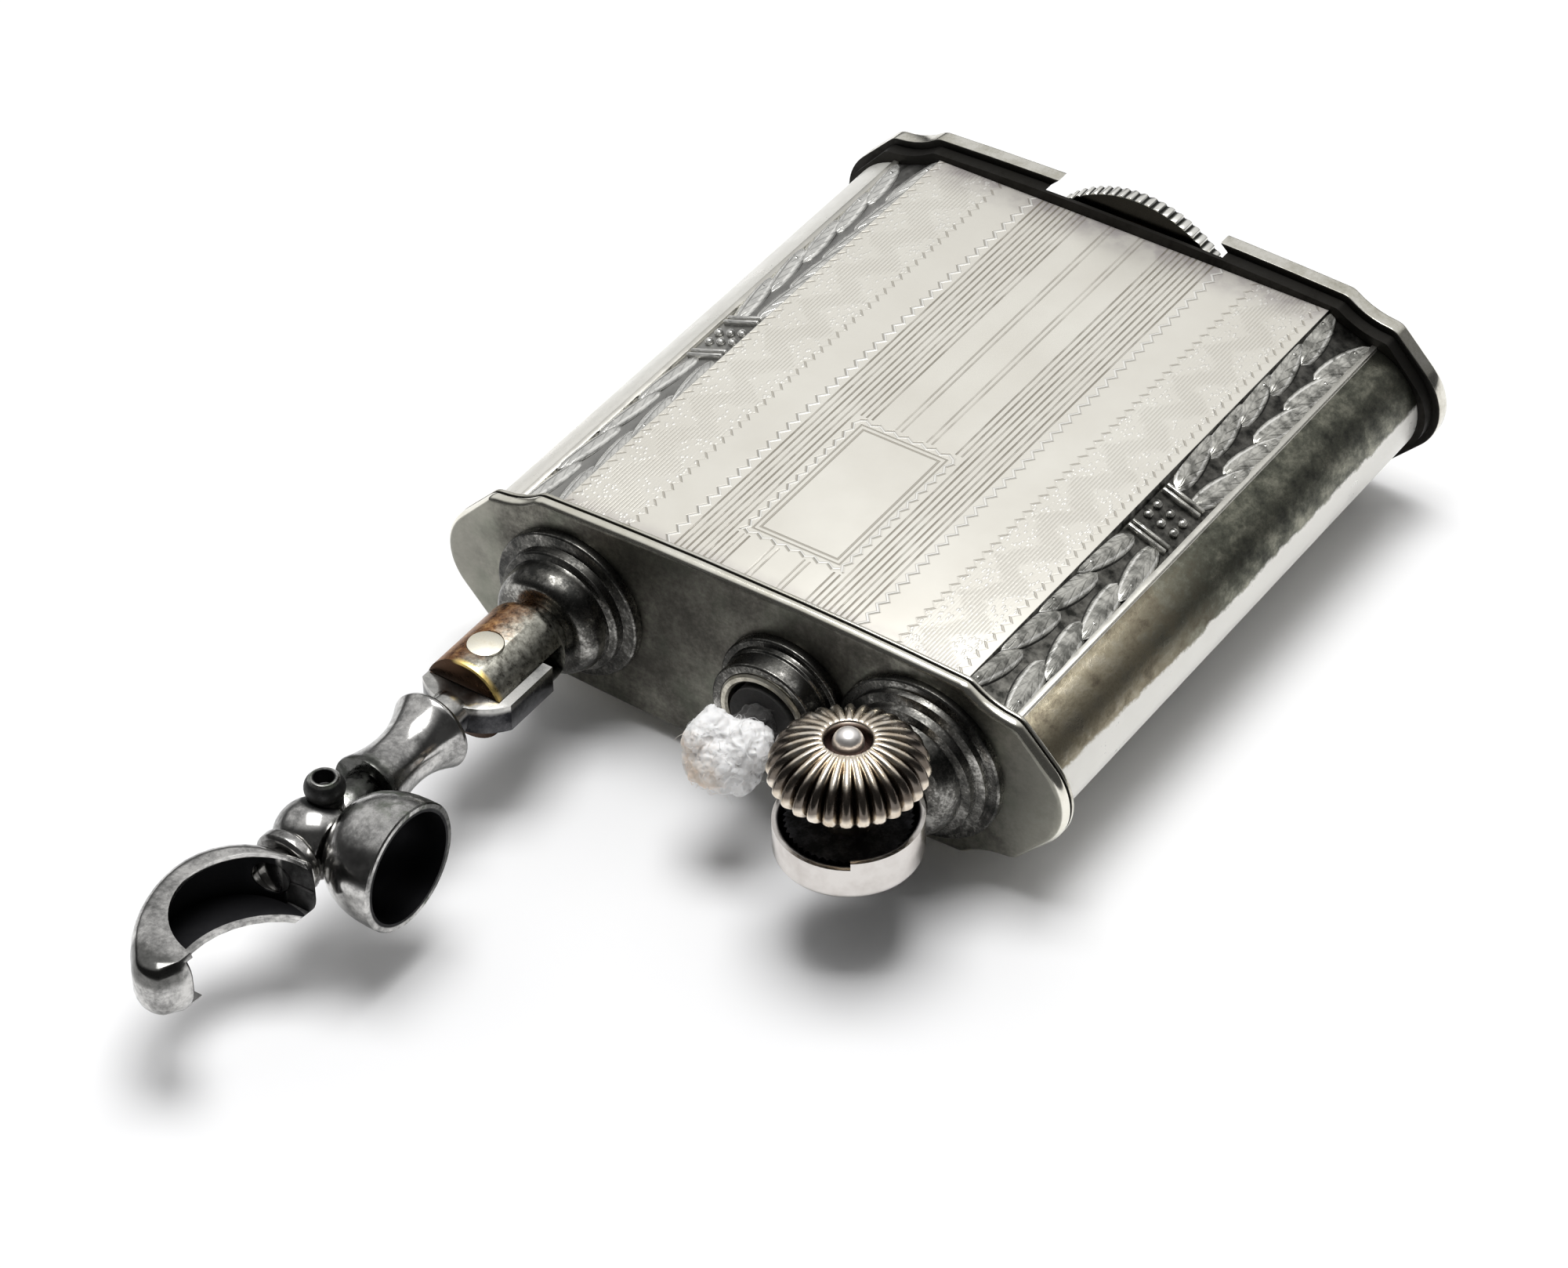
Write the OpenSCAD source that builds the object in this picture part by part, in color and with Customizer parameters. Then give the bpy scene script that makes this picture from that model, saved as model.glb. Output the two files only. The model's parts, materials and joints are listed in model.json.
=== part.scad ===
// A lift-arm petrol lighter of nickelled brass, lying on its back with its arm swung open.
// X runs across the case with the arm on the -X side, +Y runs from the deck to the filler end, +Z is up.
// Every module is drawn about the deck face at y = 0 and mid-depth at z = 0, and place() seats it on the surface.
// "Out" in the names and comments is a distance from the deck face along -Y.

/* [Case] */
// Length of the case shell
shell_length = 37.8; // [30:0.6:50]
// Width of the flanges over their round noses
flange_width = 39.84; // [38:0.2:44]
// Depth of the flanges, front to back
flange_depth = 12.48; // [12:0.1:15]
// Radius of the flange noses
nose_r = 3.6; // [3.2:0.1:4]
// Distance of the flange knees in from the noses
knee_inset = 3.2; // [2.8:0.1:3.6]
// Drop from the flange's straight edge to its knees
knee_drop = 1.47; // [1.2:0.1:1.8]
// Radius of the coves beside the flange's straight edges
cove_r = 4.8; // [4:0.2:6]
// Radius of the flange knees
knee_r = 1; // [0.8:0.05:1.2]
// Radius where the coves run into the straight edges
corner_r = 1; // [0.8:0.05:1.2]
// Crown of the flange's straight edges
edge_crown = 0.35; // [0.2:0.05:0.5]
// Distance of the case sides in from the flange noses
side_inset = 0.92; // [0.6:0.1:1.2]
// Distance of the flat panels in from the flange edges
panel_inset = 1.13; // [0.8:0.1:1.3]
// Distance of the panel edges in from the case sides
panel_edge = 6; // [5.6:0.1:6.6]
// Drop from the panels to the leaf bands
band_step = 0.36; // [0.2:0.05:0.5]
// Distance of the bead ribs in from the case sides
rib_inset = 3.02; // [2.8:0.1:3.3]
// Width of the bead ribs
rib_width = 0.34; // [0.25:0.05:0.45]
// Height of the bead ribs over the sides
rib_height = 0.2; // [0.1:0.05:0.3]
// Radius of the rounded sides
side_r = 3.81; // [3.7:0.05:4]
// Wall of the shell
wall = 0.5; // [0.4:0.05:0.6]

/* [Ends] */
// Thickness of the deck plate
deck_thickness = 0.6; // [0.6:0.05:1]
// Width of the groove between deck plate and frame
groove_width = 0.1; // [0.08:0.02:0.2]
// Depth of that groove
groove_depth = 0.35; // [0.2:0.05:0.5]
// Thickness of the frame under the groove
frame_thickness = 0.27; // [0.25:0.01:0.6]
// Radius of the small polished edges of the flanges
edge_r = 0.1; // [0.06:0.01:0.12]
// Radius of the wide polished edge round the deck
deck_edge = 0.4; // [0.3:0.02:0.44]
// Length of the plugs that fit inside the shell
plug_length = 1.5; // [1.2:0.1:2.5]
// Length of the neck over the foot flange
neck_length = 0.8; // [0.6:0.05:1.2]
// Depth of the neck behind the flange edge
neck_inset = 0.45; // [0.3:0.05:0.6]
// Thickness of the foot flange
foot_thickness = 1.03; // [0.8:0.05:1.4]
// Radius of the finger pocket round the filler screw
pocket_r = 8.2; // [7.6:0.1:8.4]
// Thickness left under the pocket in the neck
pocket_floor = 0.23; // [0.15:0.01:0.4]

/* [Filler] */
// Radius of the coin-edged filler disc
disc_r = 7.1; // [6.7:0.1:7.4]
// Thickness of the filler disc
disc_thickness = 1.1; // [0.9:0.05:1.2]
// Reeds round the filler disc
disc_reeds = 72; // [60:4:84]
// Depth of the reeds
reed_depth = 0.14; // [0.1:0.01:0.2]
// Radius of the filler stem
stem_r = 2.45; // [2:0.05:2.8]
// Length of the filler stem
stem_length = 5; // [4:0.2:8]
// Wall of the threaded bush
bush_wall = 0.85; // [0.6:0.05:1.2]
// Thickness of the gasket
gasket_thickness = 0.3; // [0.2:0.05:0.4]
// Radius of the gasket
gasket_r = 5.4; // [5:0.1:6]

/* [Wick] */
// Distance of the wick from the middle of the case
wick_x = 2.6; // [2.2:0.1:3]
// Bore of the wick tube, as a radius
wick_bore = 2.27; // [2.1:0.01:2.4]
// Wall of the wick tube
wick_wall = 0.48; // [0.4:0.02:0.5]
// Height of the wick tube's lip over the collar
lip_height = 0.14; // [0.1:0.02:0.3]
// Radius of the collar that the snuffer closes on
collar_r = 3.33; // [3.3:0.01:3.4]
// Height of the collar
collar_height = 2.2; // [2:0.1:2.6]
// Radius of the base ring of the collar
collar_ring = 3.87; // [3.7:0.05:4]
// Height of the base ring
ring_height = 0.6; // [0.4:0.05:0.8]
// Length of the wick tube under the deck face
tube_length = 5.5; // [4.5:0.25:8]
// Length of wick inside the packing
wick_length = 18; // [10:1:22]
// Radius of the fluffed end of the wick
tuft_r = 2.45; // [2.3:0.05:2.55]
// Distance of the tuft's middle from the deck face
tuft_out = 5.4; // [5.2:0.1:5.6]

/* [Striker] */
// Distance of the striker from the middle of the case
wheel_x = 11.15; // [11:0.05:11.6]
// Distance of the wheel axle from the deck face
wheel_out = 6.9; // [6.8:0.05:7.2]
// Outer radius of the wheel housing
housing_r = 3.98; // [3.8:0.02:4]
// Wall of the wheel housing
housing_wall = 0.35; // [0.25:0.05:0.4]
// Half of the housing's width along the axle
housing_half = 1.3; // [1.2:0.05:1.4]
// Drop of the housing rim on the wick side
rim_drop = 0.45; // [0.3:0.05:0.6]
// Turn of the step in the rim about the axle
rim_turn = -55; // [-70:5:-40]
// Gap between the striker wheel and the housing's wall
striker_gap = 0.23; // [0.15:0.01:0.4]
// Teeth of the striker wheel
striker_teeth = 48; // [36:4:60]
// Radius of the axle
axle_r = 0.6; // [0.5:0.05:0.7]
// Radius of the thumb knob at its rim
knob_r = 4.25; // [4:0.05:4.5]
// Height of the knob's rim over the case's mid-depth
knob_z = 3.9; // [3.6:0.05:4.2]
// Height of the knob's dome
dome_height = 2.6; // [2.2:0.1:3]
// Radius of the dimple in the dome
dimple_r = 1.25; // [1.1:0.05:1.4]
// Flutes round the dome
knob_flutes = 28; // [24:2:32]
// Radius of the knob's hub
hub_r = 1.5; // [1.2:0.05:1.6]
// Radius of the flint
flint_r = 1; // [0.9:0.02:1.05]
// Length of the flint
flint_length = 4.5; // [3:0.25:5]
// Wall of the flint tube
flint_wall = 0.5; // [0.4:0.05:0.6]
// Radius of the flint base ring
flint_ring = 5.07; // [4.9:0.02:5.1]
// Radius of the flint base dome
flint_dome = 3.5; // [3.3:0.05:3.6]
// Length of the flint screw under its head
screw_length = 5.5; // [4:0.25:8]
// Radius of the flint screw's head
screw_head_r = 2.2; // [2:0.05:2.4]
// Thickness of the flint screw's head
screw_head = 0.8; // [0.6:0.05:0.9]
// Turns of the flint spring
flint_spring_turns = 24; // [18:1:26]

/* [Arm hinge] */
// Distance of the arm from the middle of the case
arm_x = 11.4; // [11.2:0.05:11.6]
// Distance of the hinge pin from the deck face
hinge_out = 7.7; // [7.6:0.05:8]
// Radius of the arm base ring
arm_ring = 4.6; // [4.4:0.05:4.8]
// Radius of the arm base dome
arm_dome = 3.38; // [3.2:0.02:3.5]
// Radius of the barrel
barrel_r = 2.5; // [2.4:0.02:2.6]
// Distance of the barrel's end from the deck face
barrel_out = 9.72; // [9.6:0.02:10]
// Width of the slot in the barrel
slot_width = 1.8; // [1.6:0.05:2]
// Radius of the hinge pin
pin_r = 1; // [0.8:0.05:1.1]
// Radius of the lug's round end about the pin
lug_r = 3.48; // [3.3:0.02:3.55]
// Distance of the lug's stop flat from the pin, arm open
stop_open = 1.85; // [1.7:0.05:2]
// Distance of the lug's stop flat from the pin, arm closed
stop_closed = 2.95; // [2.8:0.05:3]
// Radius of the plunger under the lug
plunger_r = 0.75; // [0.6:0.05:0.8]
// Length of that plunger
plunger_length = 1.5; // [1.2:0.1:1.8]
// Turns of the arm spring
arm_spring_turns = 7; // [5:1:8]

/* [Arm] */
// Distance of the shank's flared end from the deck face
shank_out = 12.35; // [12.2:0.05:12.6]
// Length of the shank
shank_length = 5.9; // [5.6:0.05:6.2]
// Radius of the shank's flare by the hinge
flare_r = 2.36; // [2.3:0.02:2.6]
// Radius of the shank's waist
waist_r = 1.6; // [1.4:0.05:1.8]
// Radius of the shank's other end
shank_end_r = 2.05; // [1.9:0.05:2.2]
// Radius of the neck between shank and ball
neck_r = 1.3; // [1.1:0.05:1.4]
// Radius of the ball
ball_r = 2.2; // [2.1:0.02:2.3]
// Distance of the ball from the snuffer's axis along the arm
ball_offset = 0.9; // [0.8:0.05:1]
// Radius of the hollow cup pin
cup_pin_r = 0.95; // [0.85:0.05:1]
// Height of the cup pin over the arm's axis
cup_pin_height = 3.4; // [3:0.1:3.8]
// Outer radius of the snuffer's mouth
cup_r = 3.62; // [3.5:0.02:3.7]
// Inner radius of the snuffer's mouth
cup_bore = 3.04; // [2.96:0.01:3.1]
// Depth of the snuffer's bowl outside
cup_depth = 4.05; // [3.9:0.05:4.2]
// Floor of the snuffer
cup_floor = 0.6; // [0.5:0.05:0.8]
// Radius of the ring collar behind the ball
ring_r = 1.9; // [1.8:0.02:1.92]
// Thickness of that ring collar
ring_thickness = 0.9; // [0.7:0.05:1]
// Half of the thumb hook's width
hook_half = 1.7; // [1.66:0.02:1.9]
// Thickness of the hook's back
hook_back = 0.5; // [0.46:0.02:0.8]
// Swell of the hook from its back to its root
head_swell = 0.5; // [0.3:0.05:0.6]
// Swell of the hook from its back to its beak
beak_swell = 0.85; // [0.7:0.05:1]
// Reach of the beak from the middle of the cavity
beak_reach = 6.07; // [5.9:0.01:6.4]
// Radius of the beak's bend
beak_r = 1.68; // [1.5:0.02:1.8]

/* [Clearances] */
// Gap of a fixed fit, as a radius
fit = 0.03; // [0.02:0.01:0.05]
// Gap of a running fit, as a radius
running = 0.05; // [0.03:0.01:0.06]
// Gap between soft pieces and their neighbours
soft_gap = 0.3; // [0.25:0.05:0.4]
// Gap between the hook's cavity and the wheel housing
hook_gap = 0.15; // [0.12:0.01:0.2]
// Gap under the snuffer's mouth when it is closed
seat_gap = 0.06; // [0.04:0.01:0.1]

/* [Hidden] */
$fn = 96;

nose_x = flange_width / 2;
half_depth = flange_depth / 2;
knee_x = nose_x - knee_inset;
knee_z = half_depth - knee_drop;
case_x = nose_x - side_inset;
case_z = half_depth - panel_inset;
panel_x = case_x - panel_edge;
rib_x = case_x - rib_inset;
side_cx = case_x - side_r;
side_z = sqrt(pow(side_r, 2) - pow(rib_x + rib_width / 2 - side_cx, 2));
bevel_run = 0.1;

frame_y = deck_thickness + groove_width;
shell_y = frame_y + frame_thickness;
shell_end = shell_y + shell_length;
plug_end = shell_y + plug_length;
neck_end = shell_end + neck_length;
foot_y = neck_end + foot_thickness;
cap_y = shell_end - plug_length;

pocket_y = shell_end + pocket_floor;
bush_bore = stem_r + running;
bush_r = bush_bore + bush_wall;
bush_flange = 0.8;
bush_flange_y = 1;
face_gap = 0.02;
gasket_y = pocket_y + face_gap;
disc_y = gasket_y + gasket_thickness;
disc_chamfer = 0.22;
stem_y = disc_y - stem_length;
packing_y = plug_end + 1.5;
packing_end = min(stem_y, cap_y - bush_flange_y) - soft_gap;

tube_r = wick_bore + wick_wall;
wick_r = wick_bore - soft_gap;
lip_out = collar_height + lip_height;
tuft_base = lip_out + 0.1;
collar_bore = tube_r + fit;

wheel_y = -wheel_out;
striker_r = housing_r - housing_wall - striker_gap;
flint_bore = flint_r + running;
flint_tube_r = flint_bore + flint_wall;
flint_tip = wheel_out - striker_r - 0.08;
flint_end = flint_length - flint_tip;
flint_top = wheel_out - housing_r - 0.15;
housing_gap = 0.02;
floor_z = -housing_half + housing_wall;
striker_half = 0.85;
hub_top = 0.3;
bead_r = axle_r * 1.4;
bead_z = knob_z + dome_height - 0.45;
dimple_z = bead_z - sqrt(pow(bead_r, 2) - pow(axle_r, 2)) - 0.03;
plunger_head = 0.6;
plunger_stem = 2.8;
spring_gap = 0.1;
head_gap = 0.1;
screw_y = foot_y - 0.1;
screw_seat = screw_y - screw_head;
screw_tip = screw_seat - screw_length;

hinge_y = -hinge_out;
lug_half = slot_width / 2 - running;
slot_floor = hinge_out - lug_r - 0.07;
post_stem = 1.3;
post_bore = plunger_r + running;
plunger_out = slot_floor - 0.12;
stem_end = plug_end + 1.3;
nut_thickness = 0.9;
tenon_r = 1;
tenon_length = 1.4;
lug_neck = 1.25;

cup_y = hinge_y - (wick_x + arm_x);
cup_x = -arm_x + hinge_out - collar_height - seat_gap;
cup_band = 0.65;
cup_back = cup_x - cup_depth;
cup_root_r = 1.6;
cup_stem_r = 1.2;
cup_stem_x = -arm_x + cup_pin_r + 0.05;
ball_y = cup_y - ball_offset;
shank_end = -(shank_out + shank_length);
ball_neck = 1.7;
ring_y = ball_y - ball_neck;
hook_root = ring_y - ring_thickness;
hook_x = -arm_x - wheel_out + hinge_out;
hook_y = hinge_y - (wheel_x + arm_x);
cavity_r = housing_r + hook_gap;
cavity_half = housing_half + 0.14;
root_gap = 0.17;
back_r = cavity_r + hook_back;
leg_x = -arm_x + 2.5;
leg_r = 0.5;
window_r = 4.1;
window_x = hook_x + 0.95;
window_y = hook_y + 0.35;
lower_window_r = 5;
lower_window_x = hook_x + 3.1;
lower_window_y = hook_y - 1.1;
lower_window_end = hook_y - 3.4;
beak_x = hook_x - 0.8;
beak_y = hook_y - beak_reach + beak_r;
tip_x = hook_x + 0.25;
tip_y = hook_y - cavity_r - 0.37;
tip_r = 0.5;
back_turn = 190;

mid_y = (foot_y + hook_y - beak_reach) / 2;
rest_z = disc_r;

// Seats the finished object on z = 0 with the middle of its box over the origin.
module place() {
    translate([0, -mid_y, rest_z]) children();
}

// Points of an arc from one angle to another, both ends included.
function arc(cx, cy, r, a0, a1, steps) =
    [for (i = [0:steps]) let (a = a0 + (a1 - a0) * i / steps) [cx + r * cos(a), cy + r * sin(a)]];

// The other three quarters of an outline whose first quarter runs from +X to +Z.
function flip_x(pts) = [for (i = [len(pts) - 1:-1:0]) [-pts[i][0], pts[i][1]]];
function flip_z(pts) = [for (i = [len(pts) - 1:-1:0]) [pts[i][0], -pts[i][1]]];
function whole(quarter) = let (half = concat(quarter, flip_x(quarter))) concat(half, flip_z(half));

// Outline of deck, frame and foot: round noses, slanted cheeks, rounded knees, coves and crowned edges.
function flange_quarter(inset) =
    let (
        nose_c = nose_x - nose_r,
        r = nose_r - inset,
        cr = cove_r + inset,
        kr = knee_r - inset,
        er = corner_r - inset,
        knee = [knee_x, knee_z - inset],
        cove_z = knee_z + cove_r,
        reach = norm([knee[0] - nose_c, knee[1]]),
        turn = atan2(knee[1], knee[0] - nose_c) - acos(r / reach),
        run = cr * cos(turn),
        slide = -run + sqrt(pow(run, 2) + 2 * cr * kr * (1 - sin(turn))),
        kx = knee[0] - kr * cos(turn) + slide * sin(turn),
        kz = knee[1] - kr * sin(turn) - slide * cos(turn),
        edge_z = half_depth - edge_crown - inset,
        ez = edge_z - er,
        ex = knee_x - sqrt(pow(cr + er, 2) - pow(cove_z - ez, 2)),
        cove_start = atan2(kz - cove_z, kx - knee_x),
        cove_stop = atan2(ez - cove_z, ex - knee_x),
        cove_step = (cove_stop - cove_start) / 5
    )
    concat(
        arc(nose_c, 0, r, turn / 16, turn, 8),
        arc(kx, kz, kr, turn, cove_start + 180, 4),
        arc(knee_x, cove_z, cr, cove_start + cove_step, cove_stop - cove_step, 3),
        arc(ex, ez, er, cove_stop + 180, 90, 4),
        [for (k = [0.75, 0.5, 0.25]) [ex * k, edge_z + edge_crown * (1 - k * k)]]
    );
function flange_outline(inset) = whole(flange_quarter(inset));

// Outline of the case: rounded sides, bead ribs, leaf bands and flat panels.
function case_quarter() =
    let (rib_turn = acos((rib_x + rib_width / 2 - side_cx) / side_r))
    concat(
        arc(side_cx, 0, side_r, 0, rib_turn, 12),
        [[rib_x + rib_width / 2, side_z + rib_height], [rib_x - rib_width / 2, side_z + rib_height],
            [rib_x - rib_width / 2, side_z], [panel_x + bevel_run, case_z - band_step], [panel_x, case_z]]
    );

// Outline inside the case, drawn in from its outside.
function inner_quarter(inset) =
    let (r = side_r - inset, turn = acos((rib_x - inset - side_cx) / r))
    concat(arc(side_cx, 0, r, 0, turn, 12), [[panel_x - inset, case_z - inset]]);

// Quarter of an ellipse from a bowl's back at x0 to its rim at x1.
function bowl(r0, r1, x0, x1) =
    [for (i = [0:9]) let (a = i * 10) [r0 + (r1 - r0) * sin(a), x0 + (x1 - x0) * (1 - cos(a))]];

// A slice of the case between two places along Y.
module slab(y0, y1, pts) {
    translate([0, y1, 0]) rotate([90, 0, 0]) linear_extrude(y1 - y0) polygon(pts);
}

// A flange whose front and back edges are rounded.
module flange(y0, y1, front, back) {
    rings = concat(
        [for (a = [90, 60, 30, 0]) [y0 + front * (1 - sin(a)), front * (1 - cos(a))]],
        [for (a = [0, 30, 60, 90]) [y1 - back * (1 - sin(a)), back * (1 - cos(a))]]
    );
    pts = [for (ring = rings, p = flange_outline(ring[1])) [p[0], ring[0], p[1]]];
    count = len(pts) / len(rings);
    last = count * (len(rings) - 1);
    walls = [
        for (i = [0:len(rings) - 2], j = [0:count - 1])
        let (k = (j + 1) % count, low = i * count, high = low + count)
        each [[low + j, low + k, high + k], [low + j, high + k, high + j]]
    ];
    ends = [[for (j = [count - 1:-1:0]) j], [for (j = [0:count - 1]) last + j]];
    polyhedron(pts, concat(walls, ends));
}

// A piece turned about an axis along Y: each point is a radius and a distance out.
module turned_out(x, pts) {
    translate([x, 0, 0]) rotate([90, 0, 0]) rotate_extrude() polygon(pts);
}

// A piece turned about an axis along Z: each point is a radius and a height.
module turned_up(x, y, pts) {
    translate([x, y, 0]) rotate_extrude() polygon(pts);
}

module rod_y(x, y0, y1, r) {
    translate([x, y1, 0]) rotate([90, 0, 0]) cylinder(h = y1 - y0, r = r);
}

module rod_z(x, y, z0, z1, r) {
    translate([x, y, z0]) cylinder(h = z1 - z0, r = r);
}

// A coil spring along Y, its wire swept as one closed tube.
module coil(x, y0, y1, mean_r, wire_r, turns) {
    steps = 8 * turns;
    sides = 6;
    length = y1 - y0 - 2 * wire_r;
    lead = atan2(length, 360 * turns * mean_r * PI / 180);
    pts = [
        for (i = [0:steps], j = [0:sides - 1])
        let (a = i * 45, b = j * 360 / sides, side = wire_r * cos(b), rise = wire_r * sin(b) * cos(lead),
            along = wire_r * sin(b) * sin(lead))
        [x + (mean_r + side) * cos(a) + along * sin(a), y0 + wire_r + length * i / steps + rise,
            (mean_r + side) * sin(a) - along * cos(a)]
    ];
    walls = [
        for (i = [0:steps - 1], j = [0:sides - 1])
        let (k = (j + 1) % sides)
        [i * sides + j, i * sides + k, (i + 1) * sides + k, (i + 1) * sides + j]
    ];
    ends = [[for (j = [sides - 1:-1:0]) j], [for (j = [0:sides - 1]) steps * sides + j]];
    polyhedron(pts, concat(walls, ends));
}

// Holes that the wick tube, the flint tube and the arm post pass through.
module deck_holes() {
    rod_y(wick_x, -1, plug_end + 1, tube_r + fit);
    rod_y(wheel_x, -1, plug_end + 1, flint_tube_r + fit);
    rod_y(-arm_x, -1, plug_end + 1, post_stem + fit);
}

module body_shell() color("gainsboro") {
    difference() {
        slab(shell_y, shell_end, whole(case_quarter()));
        slab(shell_y - 1, shell_end + 1, whole(inner_quarter(wall)));
    }
}

module deck_plate() color("darkolivegreen") {
    difference() {
        union() {
            flange(0, deck_thickness, deck_edge, edge_r);
            slab(deck_thickness, frame_y, flange_outline(groove_depth));
        }
        deck_holes();
    }
}

module top_frame() color("silver") {
    difference() {
        union() {
            flange(frame_y, shell_y, edge_r, edge_r);
            slab(shell_y, plug_end, whole(inner_quarter(wall + fit)));
        }
        deck_holes();
    }
}

module bottom_cap() color("silver") {
    difference() {
        union() {
            slab(cap_y, shell_end, whole(inner_quarter(wall + fit)));
            slab(shell_end, neck_end, flange_outline(neck_inset));
            flange(neck_end, foot_y, edge_r, deck_edge / 2);
        }
        rod_y(0, pocket_y, foot_y + 1, pocket_r);
        rod_y(0, cap_y - 1, pocket_y + 1, bush_r + fit);
        rod_y(wheel_x, cap_y - 1, foot_y, flint_tube_r + fit);
        rod_y(wheel_x, screw_seat - face_gap, foot_y + 1, screw_head_r + head_gap);
    }
}

module filler_bush() color("goldenrod") {
    difference() {
        union() {
            rod_y(0, cap_y, pocket_y, bush_r);
            rod_y(0, cap_y - bush_flange_y, cap_y, bush_r + bush_flange);
        }
        rod_y(0, cap_y - bush_flange_y - 1, pocket_y + 1, bush_bore);
    }
}

module filler_gasket() color("saddlebrown") {
    difference() {
        rod_y(0, gasket_y, gasket_y + gasket_thickness, gasket_r);
        rod_y(0, gasket_y - 1, gasket_y + gasket_thickness + 1, stem_r + 0.1);
    }
}

// Reeds are drawn as three points each: two at the crown and one in the valley.
module filler_screw() color("silver") {
    reeds = [
        for (i = [0:disc_reeds - 1], j = [-1:1])
        let (a = 270 + (i + j * 0.28 + (j > 0 ? 0.22 : 0)) * 360 / disc_reeds,
            r = disc_r - (j > 0 ? reed_depth : 0))
        [r * cos(a), r * sin(a)]
    ];
    crown = disc_r - reed_depth - 0.06;
    face = -disc_y - disc_thickness;
    slab(disc_y, disc_y + disc_thickness - disc_chamfer, reeds);
    turned_out(0, [[0, face], [crown - disc_chamfer, face], [crown, face + disc_chamfer],
        [crown, face + 2 * disc_chamfer], [0, face + 2 * disc_chamfer]]);
    rod_y(0, stem_y, disc_y, stem_r);
}

module cotton_packing() color("ivory") {
    difference() {
        slab(packing_y, packing_end, whole(inner_quarter(wall + soft_gap)));
        rod_y(wheel_x, packing_y - 1, packing_end + 1, flint_tube_r + soft_gap);
        rod_y(wick_x, packing_y - 1, wick_length + soft_gap, tube_r + soft_gap);
    }
}

module wick() color("whitesmoke") {
    rod_y(wick_x, -tuft_base, wick_length, wick_r);
}

// The fluffed end: a round tuft drawn in to the wick at its root.
module wick_tuft() color("white") {
    root = tuft_out - tuft_base;
    root_turn = -acos(wick_r / tuft_r);
    squash = root / (tuft_r * sin(-root_turn));
    low = [for (p = arc(0, 0, tuft_r, root_turn, 0, 6)) [p[0], tuft_out + p[1] * squash]];
    high = [for (p = arc(0, tuft_out, tuft_r, 0, 90, 10)) p];
    turned_out(wick_x, concat([[0, tuft_base]], low, [for (i = [1:10]) high[i]]));
}

module wick_tube() color("gold") {
    edge = 0.12;
    turned_out(wick_x, [[wick_bore, lip_out - edge], [wick_bore + edge, lip_out], [tube_r - edge, lip_out],
        [tube_r, lip_out - edge], [tube_r, -tube_length], [wick_bore, -tube_length]]);
}

module wick_collar() color("silver") {
    edge = 0.1;
    step_r = collar_r + 0.12;
    turned_out(wick_x, [[collar_bore, 0], [collar_ring, 0], [collar_ring, ring_height - edge],
        [collar_ring - edge, ring_height], [step_r, ring_height], [step_r, ring_height + 3 * edge],
        [collar_r, ring_height + 4 * edge], [collar_r, collar_height - edge],
        [collar_r - edge, collar_height], [collar_bore, collar_height]]);
}

module flint_tube() color("goldenrod") {
    difference() {
        rod_y(wheel_x, -flint_top, screw_seat - 2 * face_gap, flint_tube_r);
        rod_y(wheel_x, -flint_top - 1, foot_y, flint_bore);
    }
}

module flint_base() color("silver") {
    bore = flint_tube_r + fit;
    top = wheel_out - housing_r + 0.4;
    edge = 0.1;
    middle_r = (flint_ring + flint_dome) / 2;
    difference() {
        turned_out(wheel_x, [[bore, 0], [flint_ring, 0], [flint_ring, 0.5 - edge], [flint_ring - edge, 0.5],
            [middle_r + 0.2, 0.5], [middle_r + 0.2, 0.9], [middle_r - 0.3, 1], [middle_r - 0.3, 1.65 - edge],
            [flint_dome, 1.65], [flint_dome, 2.3], [flint_dome - 0.3, 2.9], [flint_dome - 1, top],
            [bore, top]]);
        rod_z(wheel_x, wheel_y, -flint_ring, flint_ring, housing_r + housing_gap);
        rod_y(wick_x, -ring_height - 1, 1, collar_ring + fit);
    }
}

module wheel_housing() color("whitesmoke") {
    inner = housing_r - housing_wall;
    round_r = 0.5;
    bore = axle_r + running;
    difference() {
        turned_up(wheel_x, wheel_y, concat([[bore, -housing_half]],
            arc(housing_r - round_r, -housing_half + round_r, round_r, -90, 0, 5),
            [[housing_r, housing_half], [inner, housing_half], [inner, floor_z], [bore, floor_z]]));
        translate([wheel_x, wheel_y, housing_half - rim_drop]) rotate([0, 0, rim_turn])
            translate([-2 * housing_r, -2 * housing_r, 0]) cube([4 * housing_r, 2 * housing_r, 2]);
        translate([wheel_x - 2 * housing_r, wheel_y - 0.6, floor_z + 0.4])
            cube([2 * housing_r, 2.2, 2 * housing_half]);
        rod_y(wheel_x, wheel_y, 0, flint_bore);
    }
}

module striker_wheel() color("dimgray") {
    tooth = 360 / striker_teeth;
    rim = [
        for (i = [0:striker_teeth - 1], j = [0:1])
        let (a = (i + j * 0.25) * tooth, r = striker_r - j * 0.18)
        [r * cos(a), r * sin(a)]
    ];
    difference() {
        translate([wheel_x, wheel_y, -striker_half]) linear_extrude(2 * striker_half) polygon(rim);
        rod_z(wheel_x, wheel_y, -2 * striker_half, 2 * striker_half, axle_r + fit);
    }
}

module wheel_axle() color("silver") {
    turned_up(wheel_x, wheel_y, concat(
        [[0, -housing_half - 0.5], [0.75, -housing_half - 0.5], [0.95, -housing_half - 0.3],
            [0.95, -housing_half - running], [axle_r, -housing_half - running]],
        arc(0, bead_z, bead_r, -acos(axle_r / bead_r), 90, 10)));
}

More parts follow.
